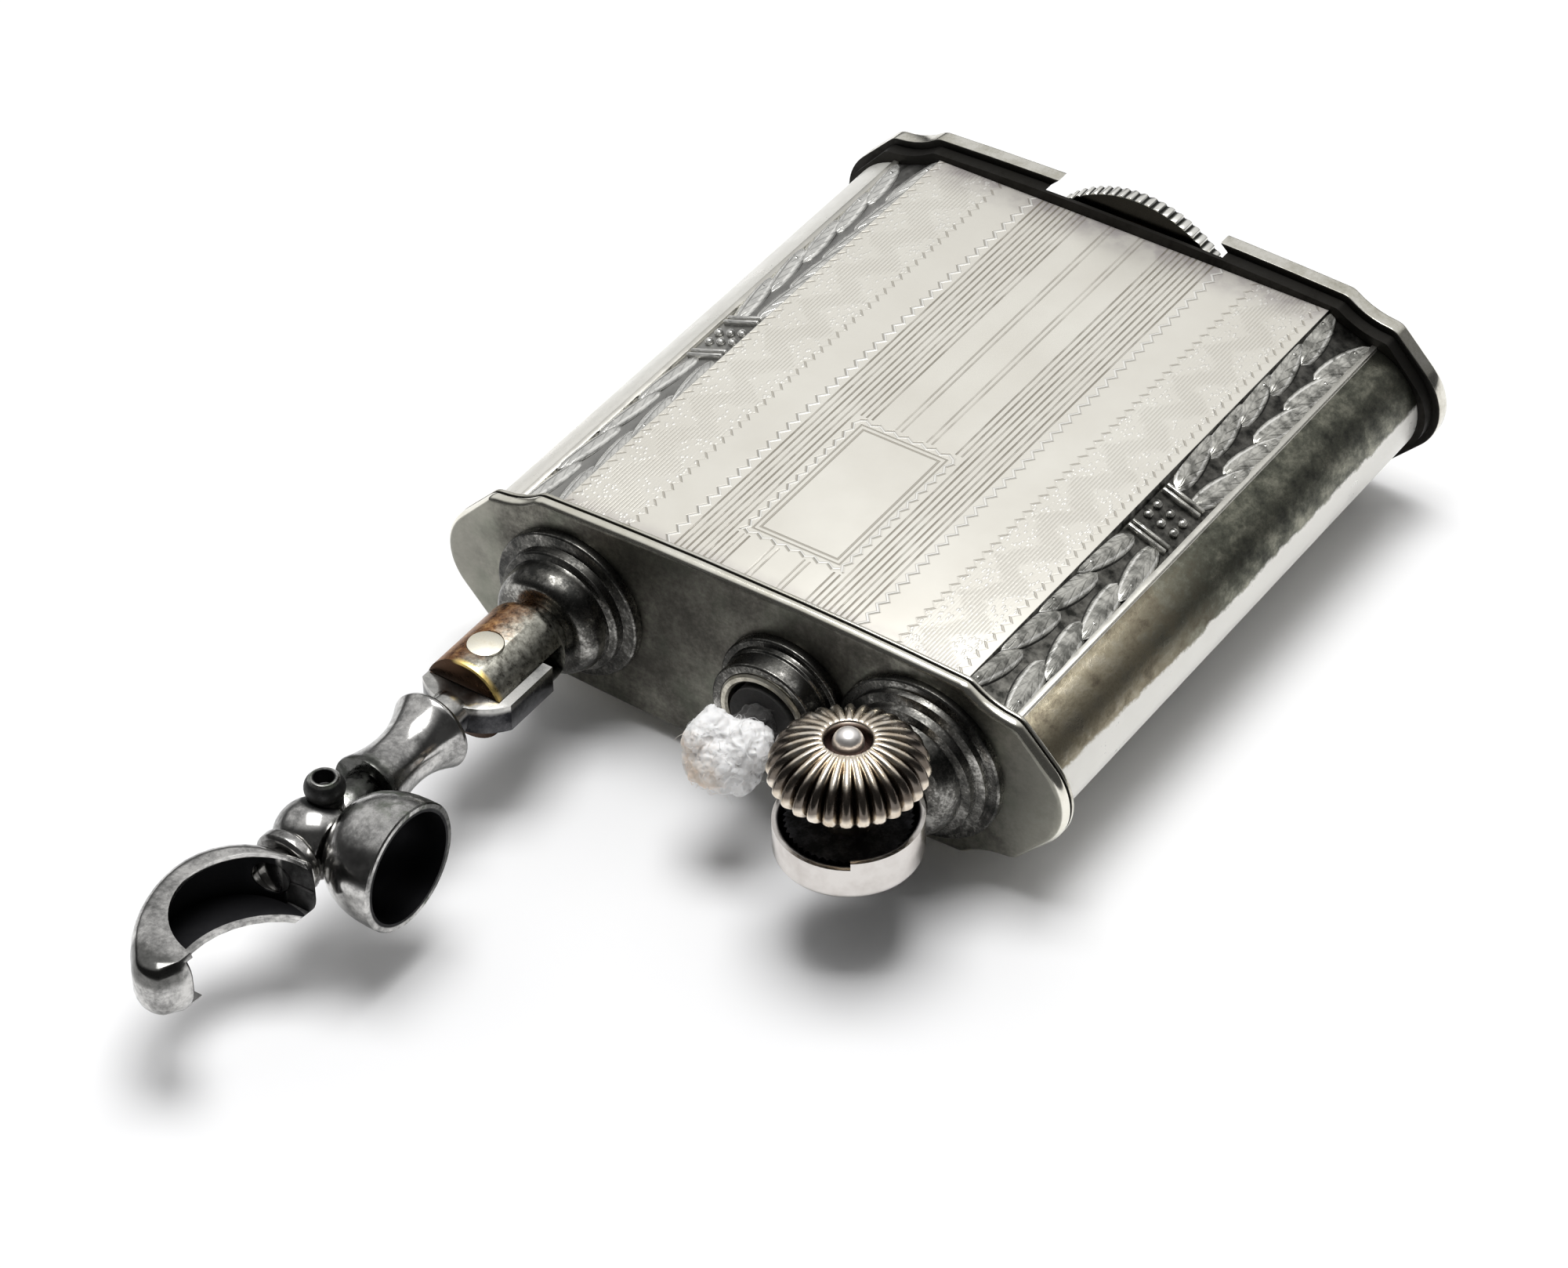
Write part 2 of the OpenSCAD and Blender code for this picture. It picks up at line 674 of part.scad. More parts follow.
// The dome falls from its crown to the rim in steps, and its flutes deepen on the way.
module thumb_knob() color("wheat") {
    rings = 8;
    per_flute = 4;
    sides = knob_flutes * per_flute;
    crown = dimple_r;
    depths = [0, 0.5, 1, 0.5];
    rim_depth = 0.46;
    profile = [
        for (i = [0:rings])
        let (t = 90 * i / rings)
        [knob_r - (knob_r - crown) * (1 - cos(t)), dome_height * sin(t)]
    ];
    dome = [
        for (i = [0:rings], j = [0:sides - 1])
        let (a = j * 360 / sides, t = i / rings,
            r = profile[i][0] - depths[j % per_flute] * rim_depth * (1 - t))
        [r * cos(a), r * sin(a), profile[i][1]]
    ];
    walls = [
        for (i = [0:rings - 1], j = [0:sides - 1])
        let (k = (j + 1) % sides, low = i * sides, high = (i + 1) * sides)
        each [[low + j, high + j, high + k], [low + j, high + k, low + k]]
    ];
    ends = [[for (j = [0:sides - 1]) j], [for (j = [sides - 1:-1:0]) rings * sides + j]];
    difference() {
        union() {
            translate([wheel_x, wheel_y, knob_z]) polyhedron(dome, concat(walls, ends));
            rod_z(wheel_x, wheel_y, striker_half, knob_z + hub_top, hub_r);
        }
        rod_z(wheel_x, wheel_y, 0, knob_z + dome_height + 1, axle_r + fit);
        rod_z(wheel_x, wheel_y, dimple_z, knob_z + dome_height + 1, dimple_r - 0.2);
    }
}

module flint() color("slategray") {
    rod_y(wheel_x, -flint_tip, flint_end, flint_r);
}

module flint_plunger() color("goldenrod") {
    rod_y(wheel_x, flint_end, flint_end + plunger_head, flint_r);
    rod_y(wheel_x, flint_end, flint_end + plunger_head + plunger_stem, 0.4);
}

module flint_spring() color("gray") {
    coil(wheel_x, flint_end + plunger_head + spring_gap, screw_tip - spring_gap, 0.75, 0.17,
        flint_spring_turns);
}

module flint_screw() color("silver") {
    slot = 0.5;
    slot_depth = 0.35;
    rod_y(wheel_x, screw_tip, screw_seat, flint_r);
    difference() {
        rod_y(wheel_x, screw_seat, screw_y, screw_head_r);
        translate([wheel_x - slot / 2, screw_y - slot_depth, -screw_head_r - 1])
            cube([slot, 1, 2 * screw_head_r + 2]);
    }
}

module arm_base() color("silver") {
    edge = 0.1;
    bore = post_stem + fit;
    middle_r = arm_dome + 0.43;
    turned_out(-arm_x, concat([[bore, 0], [arm_ring, 0], [arm_ring, 0.6 - edge], [arm_ring - edge, 0.6],
        [middle_r, 0.62], [middle_r, 1.15], [middle_r - edge, 1.25], [arm_dome, 1.3]],
        [for (i = [1:8]) let (a = i * 10) [arm_dome - 0.9 * (1 - cos(a)), 1.6 + 1.4 * sin(a)]],
        [[bore, 3]]));
}

module arm_post() color("peru") {
    root_r = 1.75;
    root_out = 3;
    shoulder = 0.7;
    difference() {
        turned_out(-arm_x, concat([[0, -stem_end], [post_stem, -stem_end], [post_stem, root_out],
            [root_r, root_out], [root_r, root_out + 0.3]],
            [for (i = [0:6]) let (a = i * 15)
                [root_r + 0.1 + (barrel_r - root_r - 0.1) * sin(a), slot_floor - 0.2 + shoulder * (1 - cos(a)) - 0.3]],
            [[barrel_r, barrel_out], [0, barrel_out]]));
        translate([-arm_x - 2 * barrel_r, -barrel_out - 1, -slot_width / 2])
            cube([4 * barrel_r, barrel_out - slot_floor + 1, slot_width]);
        rod_z(-arm_x, hinge_y, -2 * barrel_r, 2 * barrel_r, pin_r + fit);
        rod_y(-arm_x, -slot_floor - 0.5, plug_end, post_bore);
    }
}

module arm_nut() color("goldenrod") {
    difference() {
        translate([-arm_x, plug_end + nut_thickness, 0]) rotate([90, 0, 0])
            cylinder(h = nut_thickness, r = post_stem * 2, $fn = 6);
        rod_y(-arm_x, plug_end - 1, plug_end + nut_thickness + 1, post_stem + fit);
    }
}

module hinge_pin() color("ivory") {
    rod_z(-arm_x, hinge_y, -barrel_r + 0.05, barrel_r - 0.05, pin_r);
}

// A round plate with two stop flats, and the neck and tenon that carry the shank.
module arm_lug() color("gray") {
    side = barrel_r - 0.15;
    difference() {
        union() {
            intersection() {
                rod_z(-arm_x, hinge_y, -lug_half, lug_half, lug_r);
                translate([-arm_x - side, hinge_y - lug_r, -lug_half])
                    cube([side + stop_closed, lug_r + stop_open, 2 * lug_half]);
            }
            rod_y(-arm_x, -shank_out, hinge_y - lug_r + 0.4, lug_neck);
            rod_y(-arm_x, -shank_out - tenon_length, -shank_out, tenon_r);
        }
        rod_z(-arm_x, hinge_y, -lug_half - 1, lug_half + 1, pin_r + running);
    }
}

module arm_shank() color("dimgray") {
    steps = 12;
    curve = [
        for (i = [0:steps])
        let (t = i / steps, swell = t < 0.5 ? flare_r - waist_r : shank_end_r - waist_r)
        [waist_r + swell * pow(abs(2 * t - 1), 2), shank_out + 0.4 + (shank_length - 0.6) * t]
    ];
    end = shank_out + shank_length;
    difference() {
        turned_out(-arm_x, concat([[0, shank_out], [flare_r - 0.35, shank_out], [flare_r - 0.1, shank_out + 0.12]],
            curve, [[shank_end_r, end], [0, end]]));
        rod_y(-arm_x, -shank_out - tenon_length - 0.1, -shank_out + 1, tenon_r + fit);
        rod_y(-arm_x, shank_end - 1, shank_end + tenon_length + 0.1, tenon_r + fit);
    }
}

// Neck, ball and tenons in one turning, bored for the cup pin and the snuffer's stem.
module arm_hub() color("dimgray") {
    neck_turn = acos(neck_r / ball_r);
    difference() {
        turned_out(-arm_x, concat(
            [[0, -shank_end - tenon_length], [tenon_r, -shank_end - tenon_length], [tenon_r, -shank_end],
                [neck_r, -shank_end]],
            arc(0, -ball_y, ball_r, -neck_turn, asin(ball_neck / ball_r), 16),
            [[tenon_r, -ring_y], [tenon_r, -hook_root + 0.8], [0, -hook_root + 0.8]]));
        rod_z(-arm_x, cup_y + 0.25, -1.2, 2 * ball_r, cup_pin_r + fit);
        translate([-arm_x, cup_y, 0]) rotate([0, 90, 0]) cylinder(h = 2 * ball_r, r = cup_stem_r + fit);
        translate([cup_back - face_gap, cup_y, 0]) rotate([0, 90, 0]) cylinder(h = 2 * ball_r, r = cup_r);
    }
}

module cup_pin() color("darkseagreen") {
    hollow_r = cup_pin_r * 0.58;
    turned_up(-arm_x, cup_y + 0.25, concat(
        [[0, -1.2], [cup_pin_r, -1.2]],
        arc(cup_pin_r * 0.3, cup_pin_height - 0.72, cup_pin_r * 0.86, -36, 54, 8),
        [[cup_pin_r * 0.78, cup_pin_height], [hollow_r, cup_pin_height],
            [hollow_r, cup_pin_height - 0.9], [0, cup_pin_height - 0.9]]));
}

module snuffer_cup() color("dimgray") {
    outside = bowl(cup_root_r, cup_r, cup_back, cup_x - cup_band);
    inside = bowl(0, cup_bore, cup_back + cup_floor, cup_x - cup_band);
    lip = 0.08;
    translate([0, cup_y, 0]) rotate([0, 90, 0]) rotate_extrude() polygon(concat(
        [[0, cup_stem_x], [cup_stem_r, cup_stem_x], [cup_stem_r, cup_back]],
        outside, [[cup_r, cup_x - lip], [cup_r - lip, cup_x], [cup_bore + lip, cup_x]],
        [for (i = [9:-1:0]) inside[i]]));
}

module arm_collar() color("silver") {
    edge = 0.2;
    start = -ring_y;
    end = -hook_root;
    turned_out(-arm_x, [[tenon_r + fit, start], [ring_r - edge, start], [ring_r, start + edge],
        [ring_r, end - edge], [ring_r - edge, end], [tenon_r + fit, end]]);
}

// Outline of the thumb hook about the middle of its cavity, drawn in by an inset.
function hook_r(a) =
    back_r + (a < back_turn ? head_swell * pow(sin(min(90, (back_turn - a) * 1.2)), 2)
        : beak_swell * pow((a - back_turn) / 50, 2));
function hook_outline(inset) =
    concat(
        [[leg_x - inset, hook_root - leg_r], [leg_x - leg_r, hook_root - inset / 2]],
        [for (i = [0:14]) let (a = 100 + 10 * i, r = hook_r(a) - inset)
            [hook_x + r * cos(a), min(hook_y + r * sin(a), hook_root - inset / 2)]],
        arc(beak_x, beak_y, beak_r - inset, 200, 300, 10),
        arc(tip_x, tip_y, max(tip_r - inset, 0.1), 270, 375, 7)
    );

module thumb_hook() color("dimgray") {
    levels = [[0.35, 0], [0.55, 0.06], [0.72, 0.16], [0.85, 0.3], [0.94, 0.52], [1, 0.9]];
    layer = 0.02;
    far = 10;
    lower_window = concat(
        [[hook_x + far, lower_window_end], [hook_x + far, lower_window_y + lower_window_r]],
        [for (i = [0:12]) let (a = 90 + 10 * i)
            [lower_window_x + lower_window_r * cos(a),
                max(lower_window_y + lower_window_r * sin(a), lower_window_end)]]);
    difference() {
        hull() {
            for (level = levels, side = [-1, 1]) {
                translate([0, 0, side * level[0] * hook_half - (side > 0 ? layer : 0)])
                    linear_extrude(layer) polygon(hook_outline(level[1]));
            }
        }
        rod_z(hook_x, hook_y, -cavity_half, cavity_half, cavity_r);
        translate([hook_x, hook_y - cavity_r, -cavity_half])
            cube([far, 2 * cavity_r + root_gap, 2 * cavity_half]);
        rod_z(window_x, window_y, 0, far, window_r);
        translate([window_x, window_y - window_r, 0]) cube([far, 2 * window_r, far]);
        translate([0, 0, -far]) linear_extrude(far) polygon(lower_window);
        rod_y(-arm_x, hook_y, hook_root + 1, tenon_r + fit);
    }
}

module arm_plunger() color("silver") {
    rod_y(-arm_x, -plunger_out, -plunger_out + plunger_length, plunger_r);
}

module arm_spring() color("gray") {
    coil(-arm_x, -plunger_out + plunger_length + spring_gap, plug_end - spring_gap, 0.5, 0.13,
        arm_spring_turns);
}

place() body_shell();
place() top_frame();
place() deck_plate();
place() bottom_cap();
place() filler_bush();
place() filler_gasket();
place() filler_screw();
place() cotton_packing();
place() wick();
place() wick_tuft();
place() wick_tube();
place() wick_collar();
place() flint_tube();
place() flint_base();
place() wheel_housing();
place() striker_wheel();
place() wheel_axle();
place() thumb_knob();
place() flint();
place() flint_plunger();
place() flint_spring();
place() flint_screw();
place() arm_base();
place() arm_post();
place() arm_nut();
place() hinge_pin();
place() arm_lug();
place() arm_shank();
place() arm_hub();
place() cup_pin();
place() snuffer_cup();
place() arm_collar();
place() thumb_hook();
place() arm_spring();
place() arm_plunger();
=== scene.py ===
import json
import math
import random

import bpy
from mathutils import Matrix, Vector, noise


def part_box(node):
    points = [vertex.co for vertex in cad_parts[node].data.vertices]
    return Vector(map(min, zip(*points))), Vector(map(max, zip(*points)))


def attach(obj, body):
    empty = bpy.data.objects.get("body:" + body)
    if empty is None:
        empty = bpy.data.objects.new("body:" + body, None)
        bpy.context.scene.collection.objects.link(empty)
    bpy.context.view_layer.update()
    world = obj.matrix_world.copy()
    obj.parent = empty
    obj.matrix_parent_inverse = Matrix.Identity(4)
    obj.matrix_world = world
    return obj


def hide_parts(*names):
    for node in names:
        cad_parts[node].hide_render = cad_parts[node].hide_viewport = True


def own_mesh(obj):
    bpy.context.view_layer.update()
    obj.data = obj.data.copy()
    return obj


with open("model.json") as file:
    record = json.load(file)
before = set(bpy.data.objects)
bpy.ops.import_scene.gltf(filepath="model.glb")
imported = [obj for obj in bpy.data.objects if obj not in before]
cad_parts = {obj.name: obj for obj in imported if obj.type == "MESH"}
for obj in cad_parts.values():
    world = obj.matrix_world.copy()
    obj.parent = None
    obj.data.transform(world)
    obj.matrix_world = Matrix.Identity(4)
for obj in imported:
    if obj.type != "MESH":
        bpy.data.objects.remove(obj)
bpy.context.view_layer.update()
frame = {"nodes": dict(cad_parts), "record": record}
mm = 0.001

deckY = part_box("deck_plate")[0].y  # the deck face, which looks along -Y
midZ = (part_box("deck_plate")[0].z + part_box("deck_plate")[1].z) / 2  # half-way through the case's depth
print("frame loaded")

# Camera, as the photograph was taken
cameraSetup = {
    "place": (0.122986, -0.175179, 0.194318),
    "turn": (49.0366, 0.6676, 34.275),
    "lens": 122.34,
    "sensor": 36.0,
}
bpy.ops.object.camera_add(
    location=cameraSetup["place"],
    rotation=[math.radians(a) for a in cameraSetup["turn"]],
)
camera = bpy.context.object
camera.name = "tableCamera"
camera.data.lens = cameraSetup["lens"]
camera.data.sensor_width = cameraSetup["sensor"]
camera.data.sensor_fit = "HORIZONTAL"
camera.data.clip_start = 0.01
camera.data.clip_end = 20
bpy.context.scene.camera = camera
bpy.context.scene.view_settings.view_transform = "Standard"

# One wide soft box nearly overhead
lampSetup = {"place": (-0.03, 0.05, 0.62), "size": 0.34, "power": 3.1}
bpy.ops.object.light_add(type="AREA", location=lampSetup["place"])
lamp = bpy.context.object
lamp.name = "overhead"
lamp.data.shape = "SQUARE"
lamp.data.size = lampSetup["size"]
lamp.data.energy = lampSetup["power"]
lamp.rotation_euler = Vector(lampSetup["place"]).to_track_quat("Z", "Y").to_euler()


# Small helpers for materials: each adds its nodes to the one on the bench
bench = {"mat": None, "shader": None}


def addNode(kind, inputs=None, **settings):
    tree = bench["mat"].node_tree
    new = tree.nodes.new(kind)
    for key, value in settings.items():
        setattr(new, key, value)
    for key, value in (inputs or {}).items():
        if isinstance(value, bpy.types.NodeSocket):
            tree.links.new(value, new.inputs[key])
        else:
            new.inputs[key].default_value = value
    return new


def calc(operation, a, b=0.0, c=0.0):
    return addNode("ShaderNodeMath", {0: a, 1: b, 2: c}, operation=operation).outputs[0]


def times(value, *others):
    for other in others:
        value = calc("MULTIPLY", value, other)
    return value


def most(value, *others):
    for other in others:
        value = calc("MAXIMUM", value, other)
    return value


def minus(value, other):
    return calc("SUBTRACT", value, other)


def unsigned(value):
    return calc("ABSOLUTE", value)


def addShare(value, share, base):
    return calc("MULTIPLY_ADD", value, share, base)


def rise(value, low, high, toLow=0.0, toHigh=1.0):
    spread = addNode(
        "ShaderNodeMapRange",
        {"Value": value, "From Min": low, "From Max": high, "To Min": toLow, "To Max": toHigh},
        interpolation_type="SMOOTHSTEP",
    )
    return spread.outputs[0]


def fall(value, low, high, top=1.0):
    return rise(value, low, high, top, 0.0)


# One on a line of this half width, fading out over the soft edge
def stripe(value, centre, half, soft):
    return fall(unsigned(minus(value, centre)), half, half + soft)


# Goes up and down between -1 and 1
def zigzag(value, period):
    wave = calc("PINGPONG", calc("DIVIDE", value, period), 0.5)
    return addShare(wave, 4.0, -1.0)


# One on the first leg of each zigzag, low on the other
def firstLeg(value, period, low=0.2):
    return rise(calc("FRACT", calc("DIVIDE", value, period)), 0.46, 0.52, 1.0, low)


# Lines of even pitch: one on each line, none past clear (in shares of the pitch)
def ruling(value, pitch, solid, clear):
    return fall(calc("PINGPONG", calc("DIVIDE", value, pitch), 0.5), solid, clear)


def axes(vector):
    split = addNode("ShaderNodeSeparateXYZ", {0: vector})
    return split.outputs[0], split.outputs[1], split.outputs[2]


def asColor(value):
    return (*value, 1) if isinstance(value, tuple) else value


def mixColor(factor, a, b):
    return addNode("ShaderNodeMix", {0: factor, 6: asColor(a), 7: asColor(b)}, data_type="RGBA").outputs[2]


def mixValue(factor, a, b):
    return addNode("ShaderNodeMix", {0: factor, 2: a, 3: b}, data_type="FLOAT").outputs[0]


def colorRamp(value, stops):
    ramp = addNode("ShaderNodeValToRGB", {0: value})
    while len(ramp.color_ramp.elements) < len(stops):
        ramp.color_ramp.elements.new(0.5)
    for element, (place, color) in zip(ramp.color_ramp.elements, stops):
        element.position = place
        element.color = asColor(color)
    return ramp.outputs[0]


def speckle(spot, scale, detail=4.0, roughness=0.6, stretch=None):
    if stretch:
        spot = addNode("ShaderNodeMapping", {"Vector": spot, "Scale": stretch}).outputs[0]
    inputs = {"Vector": spot, "Scale": scale, "Detail": detail, "Roughness": roughness}
    return addNode("ShaderNodeTexNoise", inputs).outputs[0]


def setSocket(socket, value):
    bench["shader"].inputs[socket].default_value = value


# Puts a new material on the bench, and gives the place on the piece in millimetres
def newFinish(name, metallic=1.0):
    mat = bpy.data.materials.new(name)
    mat.use_nodes = True
    bench["mat"] = mat
    bench["shader"] = mat.node_tree.nodes["Principled BSDF"]
    setSocket("Metallic", metallic)
    place = addNode("ShaderNodeTexCoord").outputs["Object"]
    return addNode("ShaderNodeVectorMath", {0: place, 3: 1 / mm}, operation="SCALE").outputs[0]


def feed(value, socket):
    bench["mat"].node_tree.links.new(value, bench["shader"].inputs[socket])


def polish(color, rough, height, distance, strength=0.5):
    feed(color, "Base Color")
    feed(rough, "Roughness")
    bump = addNode("ShaderNodeBump", {"Height": height, "Distance": distance, "Strength": strength})
    feed(bump.outputs[0], "Normal")


# Place on the piece from the deck face at mid-depth, moved by x, y and z
def splitFrom(spot, x=0.0, y=0.0, z=0.0):
    middle = (x, deckY / mm + y, midZ / mm + z)
    local = addNode("ShaderNodeVectorMath", {0: spot, 1: middle}, operation="SUBTRACT").outputs[0]
    return local, *axes(local)


# Distance of a point from a line: the two coordinates across it are measured from the line's place
def awayFrom(a, placeA, b, placeB):
    offA = minus(a, placeA)
    offB = minus(b, placeB)
    return calc("SQRT", addShare(offA, offA, times(offB, offB)))


# The room: bright overhead and beyond the lighter, dark on the near side and round the horizon
roomSetup = {
    "base": 0.06,
    "glow": 0.72,
    "near": (0.575, -0.818, 0.0),
    "nearShade": 0.9,
    "edge": (0.35, 0.95),
    "horizon": (0.05, 0.4),
    "strength": 0.9,
}
room = bpy.data.worlds.new("softRoom")
bpy.context.scene.world = room
room.use_nodes = True
room.node_tree.nodes.clear()
bench["mat"] = room
skyAim = addNode("ShaderNodeTexCoord").outputs["Generated"]
skyHigh = axes(skyAim)[2]
skyNear = addNode("ShaderNodeVectorMath", {0: skyAim, 1: roomSetup["near"]}, operation="DOT_PRODUCT")
skyLift = addShare(skyNear.outputs["Value"], -roomSetup["nearShade"], skyHigh)
skyGlow = times(rise(skyLift, *roomSetup["edge"]), rise(skyHigh, *roomSetup["horizon"]))
skyLevel = addShare(skyGlow, roomSetup["glow"], roomSetup["base"])
skyShade = addNode("ShaderNodeBackground", {"Color": skyLevel, "Strength": roomSetup["strength"]})
addNode("ShaderNodeOutputWorld", {"Surface": skyShade.outputs[0]})
print("camera, lamp and room ready")

# Plain metals with cloudy tarnish, fine scratches and small pits
tarnish = {
    "cloudShare": 0.75,
    "grain": 6.0,  # scale of the pits
    "grainShare": 0.3,
    "roughen": 0.22,  # what full tarnish adds to the roughness
    "scratches": 3.0,
    "drag": (9.0, 0.7, 9.0),  # scratches run along Y
    "scratchRough": 0.1,
    "depth": 0.000006,
}


def tarnishedMetal(name, bright, dull, roughness, clouds, cover, scratch=0.35, tint=None):
    spot = newFinish(name)
    cloud = speckle(spot, clouds, 6.0, 0.65)
    grain = speckle(spot, tarnish["grain"], 3.0, 0.7)
    worn = addShare(grain, tarnish["grainShare"], times(cloud, tarnish["cloudShare"]))
    stops = [(cover[0], bright), (cover[1], dull)]
    if tint:
        stops.insert(1, ((cover[0] + cover[1]) / 2, tint))
    color = colorRamp(worn, stops)
    scratches = speckle(spot, tarnish["scratches"], 5.0, 0.7, stretch=tarnish["drag"])
    rough = rise(worn, cover[0], cover[1], roughness, roughness + tarnish["roughen"])
    rough = addShare(scratches, tarnish["scratchRough"], rough)
    polish(color, rough, addShare(grain, 0.5, scratches), tarnish["depth"] * scratch)


# Bright and dull colour, roughness, scale of clouds, their cover, depth of scratches, tint between
metals = {
    "brightNickel": ((0.86, 0.84, 0.8), (0.62, 0.58, 0.52), 0.1, 0.3, (0.52, 0.75), 0.25),
    "darkNickel": (
        (0.5, 0.49, 0.46), (0.03, 0.03, 0.028), 0.08, 0.4, (0.37, 0.6), 0.3, (0.12, 0.117, 0.108)),
    "tubeNickel": ((0.66, 0.63, 0.54), (0.24, 0.22, 0.17), 0.26, 0.8, (0.46, 0.7)),
    "innerBrass": ((0.78, 0.6, 0.3), (0.42, 0.3, 0.14), 0.28, 0.6, (0.45, 0.7)),
    "rivetSteel": ((0.84, 0.81, 0.7), (0.62, 0.58, 0.48), 0.36, 0.9, (0.45, 0.7)),
    "strikerSteel": ((0.05, 0.05, 0.055), (0.015, 0.015, 0.015), 0.5, 0.9, (0.4, 0.6)),
    "axleNickel": ((0.9, 0.87, 0.84), (0.74, 0.7, 0.66), 0.34, 0.5, (0.5, 0.75)),
    "springSteel": ((0.5, 0.5, 0.5), (0.25, 0.24, 0.22), 0.3, 0.8, (0.45, 0.7)),
    "flintAlloy": ((0.26, 0.26, 0.28), (0.12, 0.12, 0.12), 0.6, 1.2, (0.4, 0.6)),
}
for metalName, recipe in metals.items():
    tarnishedMetal(metalName, *recipe)

# The wheel housing: bright plating outside; inside, black from soot and painted shade
housingLook = {
    "axle": (11.15, -6.9),  # from the middle of the case and the deck face
    "sootAndShadeTo": 3.73,  # reach of the soot and painted shade from the axle, where it begins to fade
    "fade": 0.16,
    "plated": [(0.4, (0.7, 0.67, 0.64)), (0.7, (0.54, 0.5, 0.47))],
    "sootAndShade": (0.012, 0.012, 0.014),
    "roughness": (0.12, 0.26),
    "sootAndShadeRough": 0.45,
}


def housingFinish():
    look = housingLook
    spot = newFinish("housingNickel")
    local, x, y, _ = splitFrom(spot)
    cloud = speckle(local, 0.5, 5.0, 0.65)
    reach = addShare(cloud, look["fade"], awayFrom(x, look["axle"][0], y, look["axle"][1]))
    # Soot and painted shade: black inside the housing round the wheel
    inside = fall(reach, look["sootAndShadeTo"], look["sootAndShadeTo"] + look["fade"])
    color = mixColor(inside, colorRamp(cloud, look["plated"]), look["sootAndShade"])
    scratches = speckle(local, 2.5, 5.0, 0.7, stretch=(0.6, 0.6, 8.0))
    rough = rise(scratches, 0.3, 0.7, *look["roughness"])
    rough = addShare(inside, look["sootAndShadeRough"], rough)
    polish(color, rough, scratches, 0.000004)


# The filler disc: a dark coin whose reeds have a painted highlight on the crests and painted shade in the
# valleys
discLook = {
    "edgeFrom": (6.86, 6.92),  # where the flat ends and the edge begins
    "reeds": (6.99, 7.06),  # from the valleys to the crests
    "back": (39.9, 40.2),  # painted shade on the side towards the case, as far as this
    "flat": [(0.35, (0.16, 0.155, 0.14)), (0.6, (0.42, 0.41, 0.38)), (0.75, (0.6, 0.59, 0.55))],
    "backShade": (0.03, 0.028, 0.024),
    "valley": (0.03, 0.03, 0.026),
    "crest": (0.9, 0.89, 0.84),
    "roughness": (0.16, 0.34),
}


def discFinish():
    look = discLook
    spot = newFinish("reededNickel")
    local, x, y, z = splitFrom(spot)
    reach = awayFrom(x, 0.0, z, 0.0)
    cloud = speckle(local, 0.8, 5.0, 0.7)
    # Painted shade on the side towards the case, painted shade in the reed valleys and a painted highlight
    # on the crests
    flat = mixColor(fall(y, *look["back"]), colorRamp(cloud, look["flat"]), look["backShade"])
    edge = mixColor(rise(reach, *look["reeds"]), look["valley"], look["crest"])
    color = mixColor(rise(reach, *look["edgeFrom"]), flat, edge)
    rough = rise(cloud, 0.3, 0.7, *look["roughness"])
    polish(color, rough, cloud, 0.00001)


# The flanges: a high polish on the edges; black in the groove under the deck and round the foot's neck, from
# tarnish and painted shade
flangeLook = {
    "neck": (38.5, 39.6),
    "groove": 0.72,
    "metal": [(0.44, (0.84, 0.82, 0.75)), (0.6, (0.6, 0.58, 0.5)), (0.74, (0.26, 0.25, 0.2))],
    "black": (0.012, 0.011, 0.01),
    "roughness": (0.13, 0.34),
    "blackRough": 0.42,
}


def flangeFinish():
    look = flangeLook
    spot = newFinish("flangeNickel")
    local, _, y, _ = splitFrom(spot)
    cloud = speckle(local, 0.45, 6.0, 0.65)
    grain = speckle(local, 3.0, 4.0, 0.7)
    worn = addShare(grain, 0.3, times(cloud, 0.75))
    neckFrom, neckTo = look["neck"]
    neck = times(rise(y, neckFrom, neckFrom + 0.1), fall(y, neckTo, neckTo + 0.08))
    # Tarnish and painted shade: black in the groove under the deck and round the foot's neck
    dark = most(neck, fall(y, look["groove"], look["groove"] + 0.04))
    color = mixColor(times(dark, 0.98), colorRamp(worn, look["metal"]), look["black"])
    rough = rise(worn, 0.45, 0.74, *look["roughness"])
    rough = addShare(dark, look["blackRough"], rough)
    polish(color, rough, worn, 0.000003, 0.4)


flangeFinish()
housingFinish()
discFinish()
print("plain metals ready")

# The case: engine-turned panels, dark leaf grounds, bright ribs, and stained sides with painted reflections
caseEngraving = {
    "panelHalf": 12.92,  # half of the flat panel's width, mm
    "panelHigh": 4.95,  # what lies further from mid-depth counts as panel
    "offset": -0.2,  # the pattern sits a little to one side
    "pairs": (0.83, 1.16),
    "fine": (2.72, 5.75),  # from and to, beside the middle
    "finePitch": 0.37,
    "wriggle": {"period": 0.95, "swing": 0.2, "at": 6.3, "line": (0.03, 0.07), "fleck": (-0.1, 0.04, 0.09)},
    "hatch": (8.55, 12.55),
    "hatchPitch": 0.21,
    "ribbon": {"period": 3.6, "swing": 0.9, "drift": 1.6},  # the hatching is clear along this zigzag
    "zigzag": {"period": 0.8, "swing": 0.18, "line": (0.04, 0.08)},
    "chips": (4.2, 2.6, 1.0),
    "shieldX": -0.2,  # middle of the blank shield, from the pattern's middle
    "shieldY": 10.6,  # and from the deck face
    "shieldHalf": (2.46, 4.93),
    "borders": ((0.0, 0.03, 0.06), (0.32, 0.02, 0.05)),  # place, half width and fade
    "shieldWriggle": {
        "period": 0.9, "swing": 0.13, "at": 0.72, "line": (0.035, 0.07), "fleck": (-0.1, 0.03, 0.07)},
    "strength": {
        "pairs": 0.7, "fine": 1.1, "border": 0.8, "wriggle": 0.75, "hatch": 0.3, "zigzag": 0.7, "chip": 0.7},
    "haze": 0.76,  # share of the panel's light that its fine cuts scatter
}
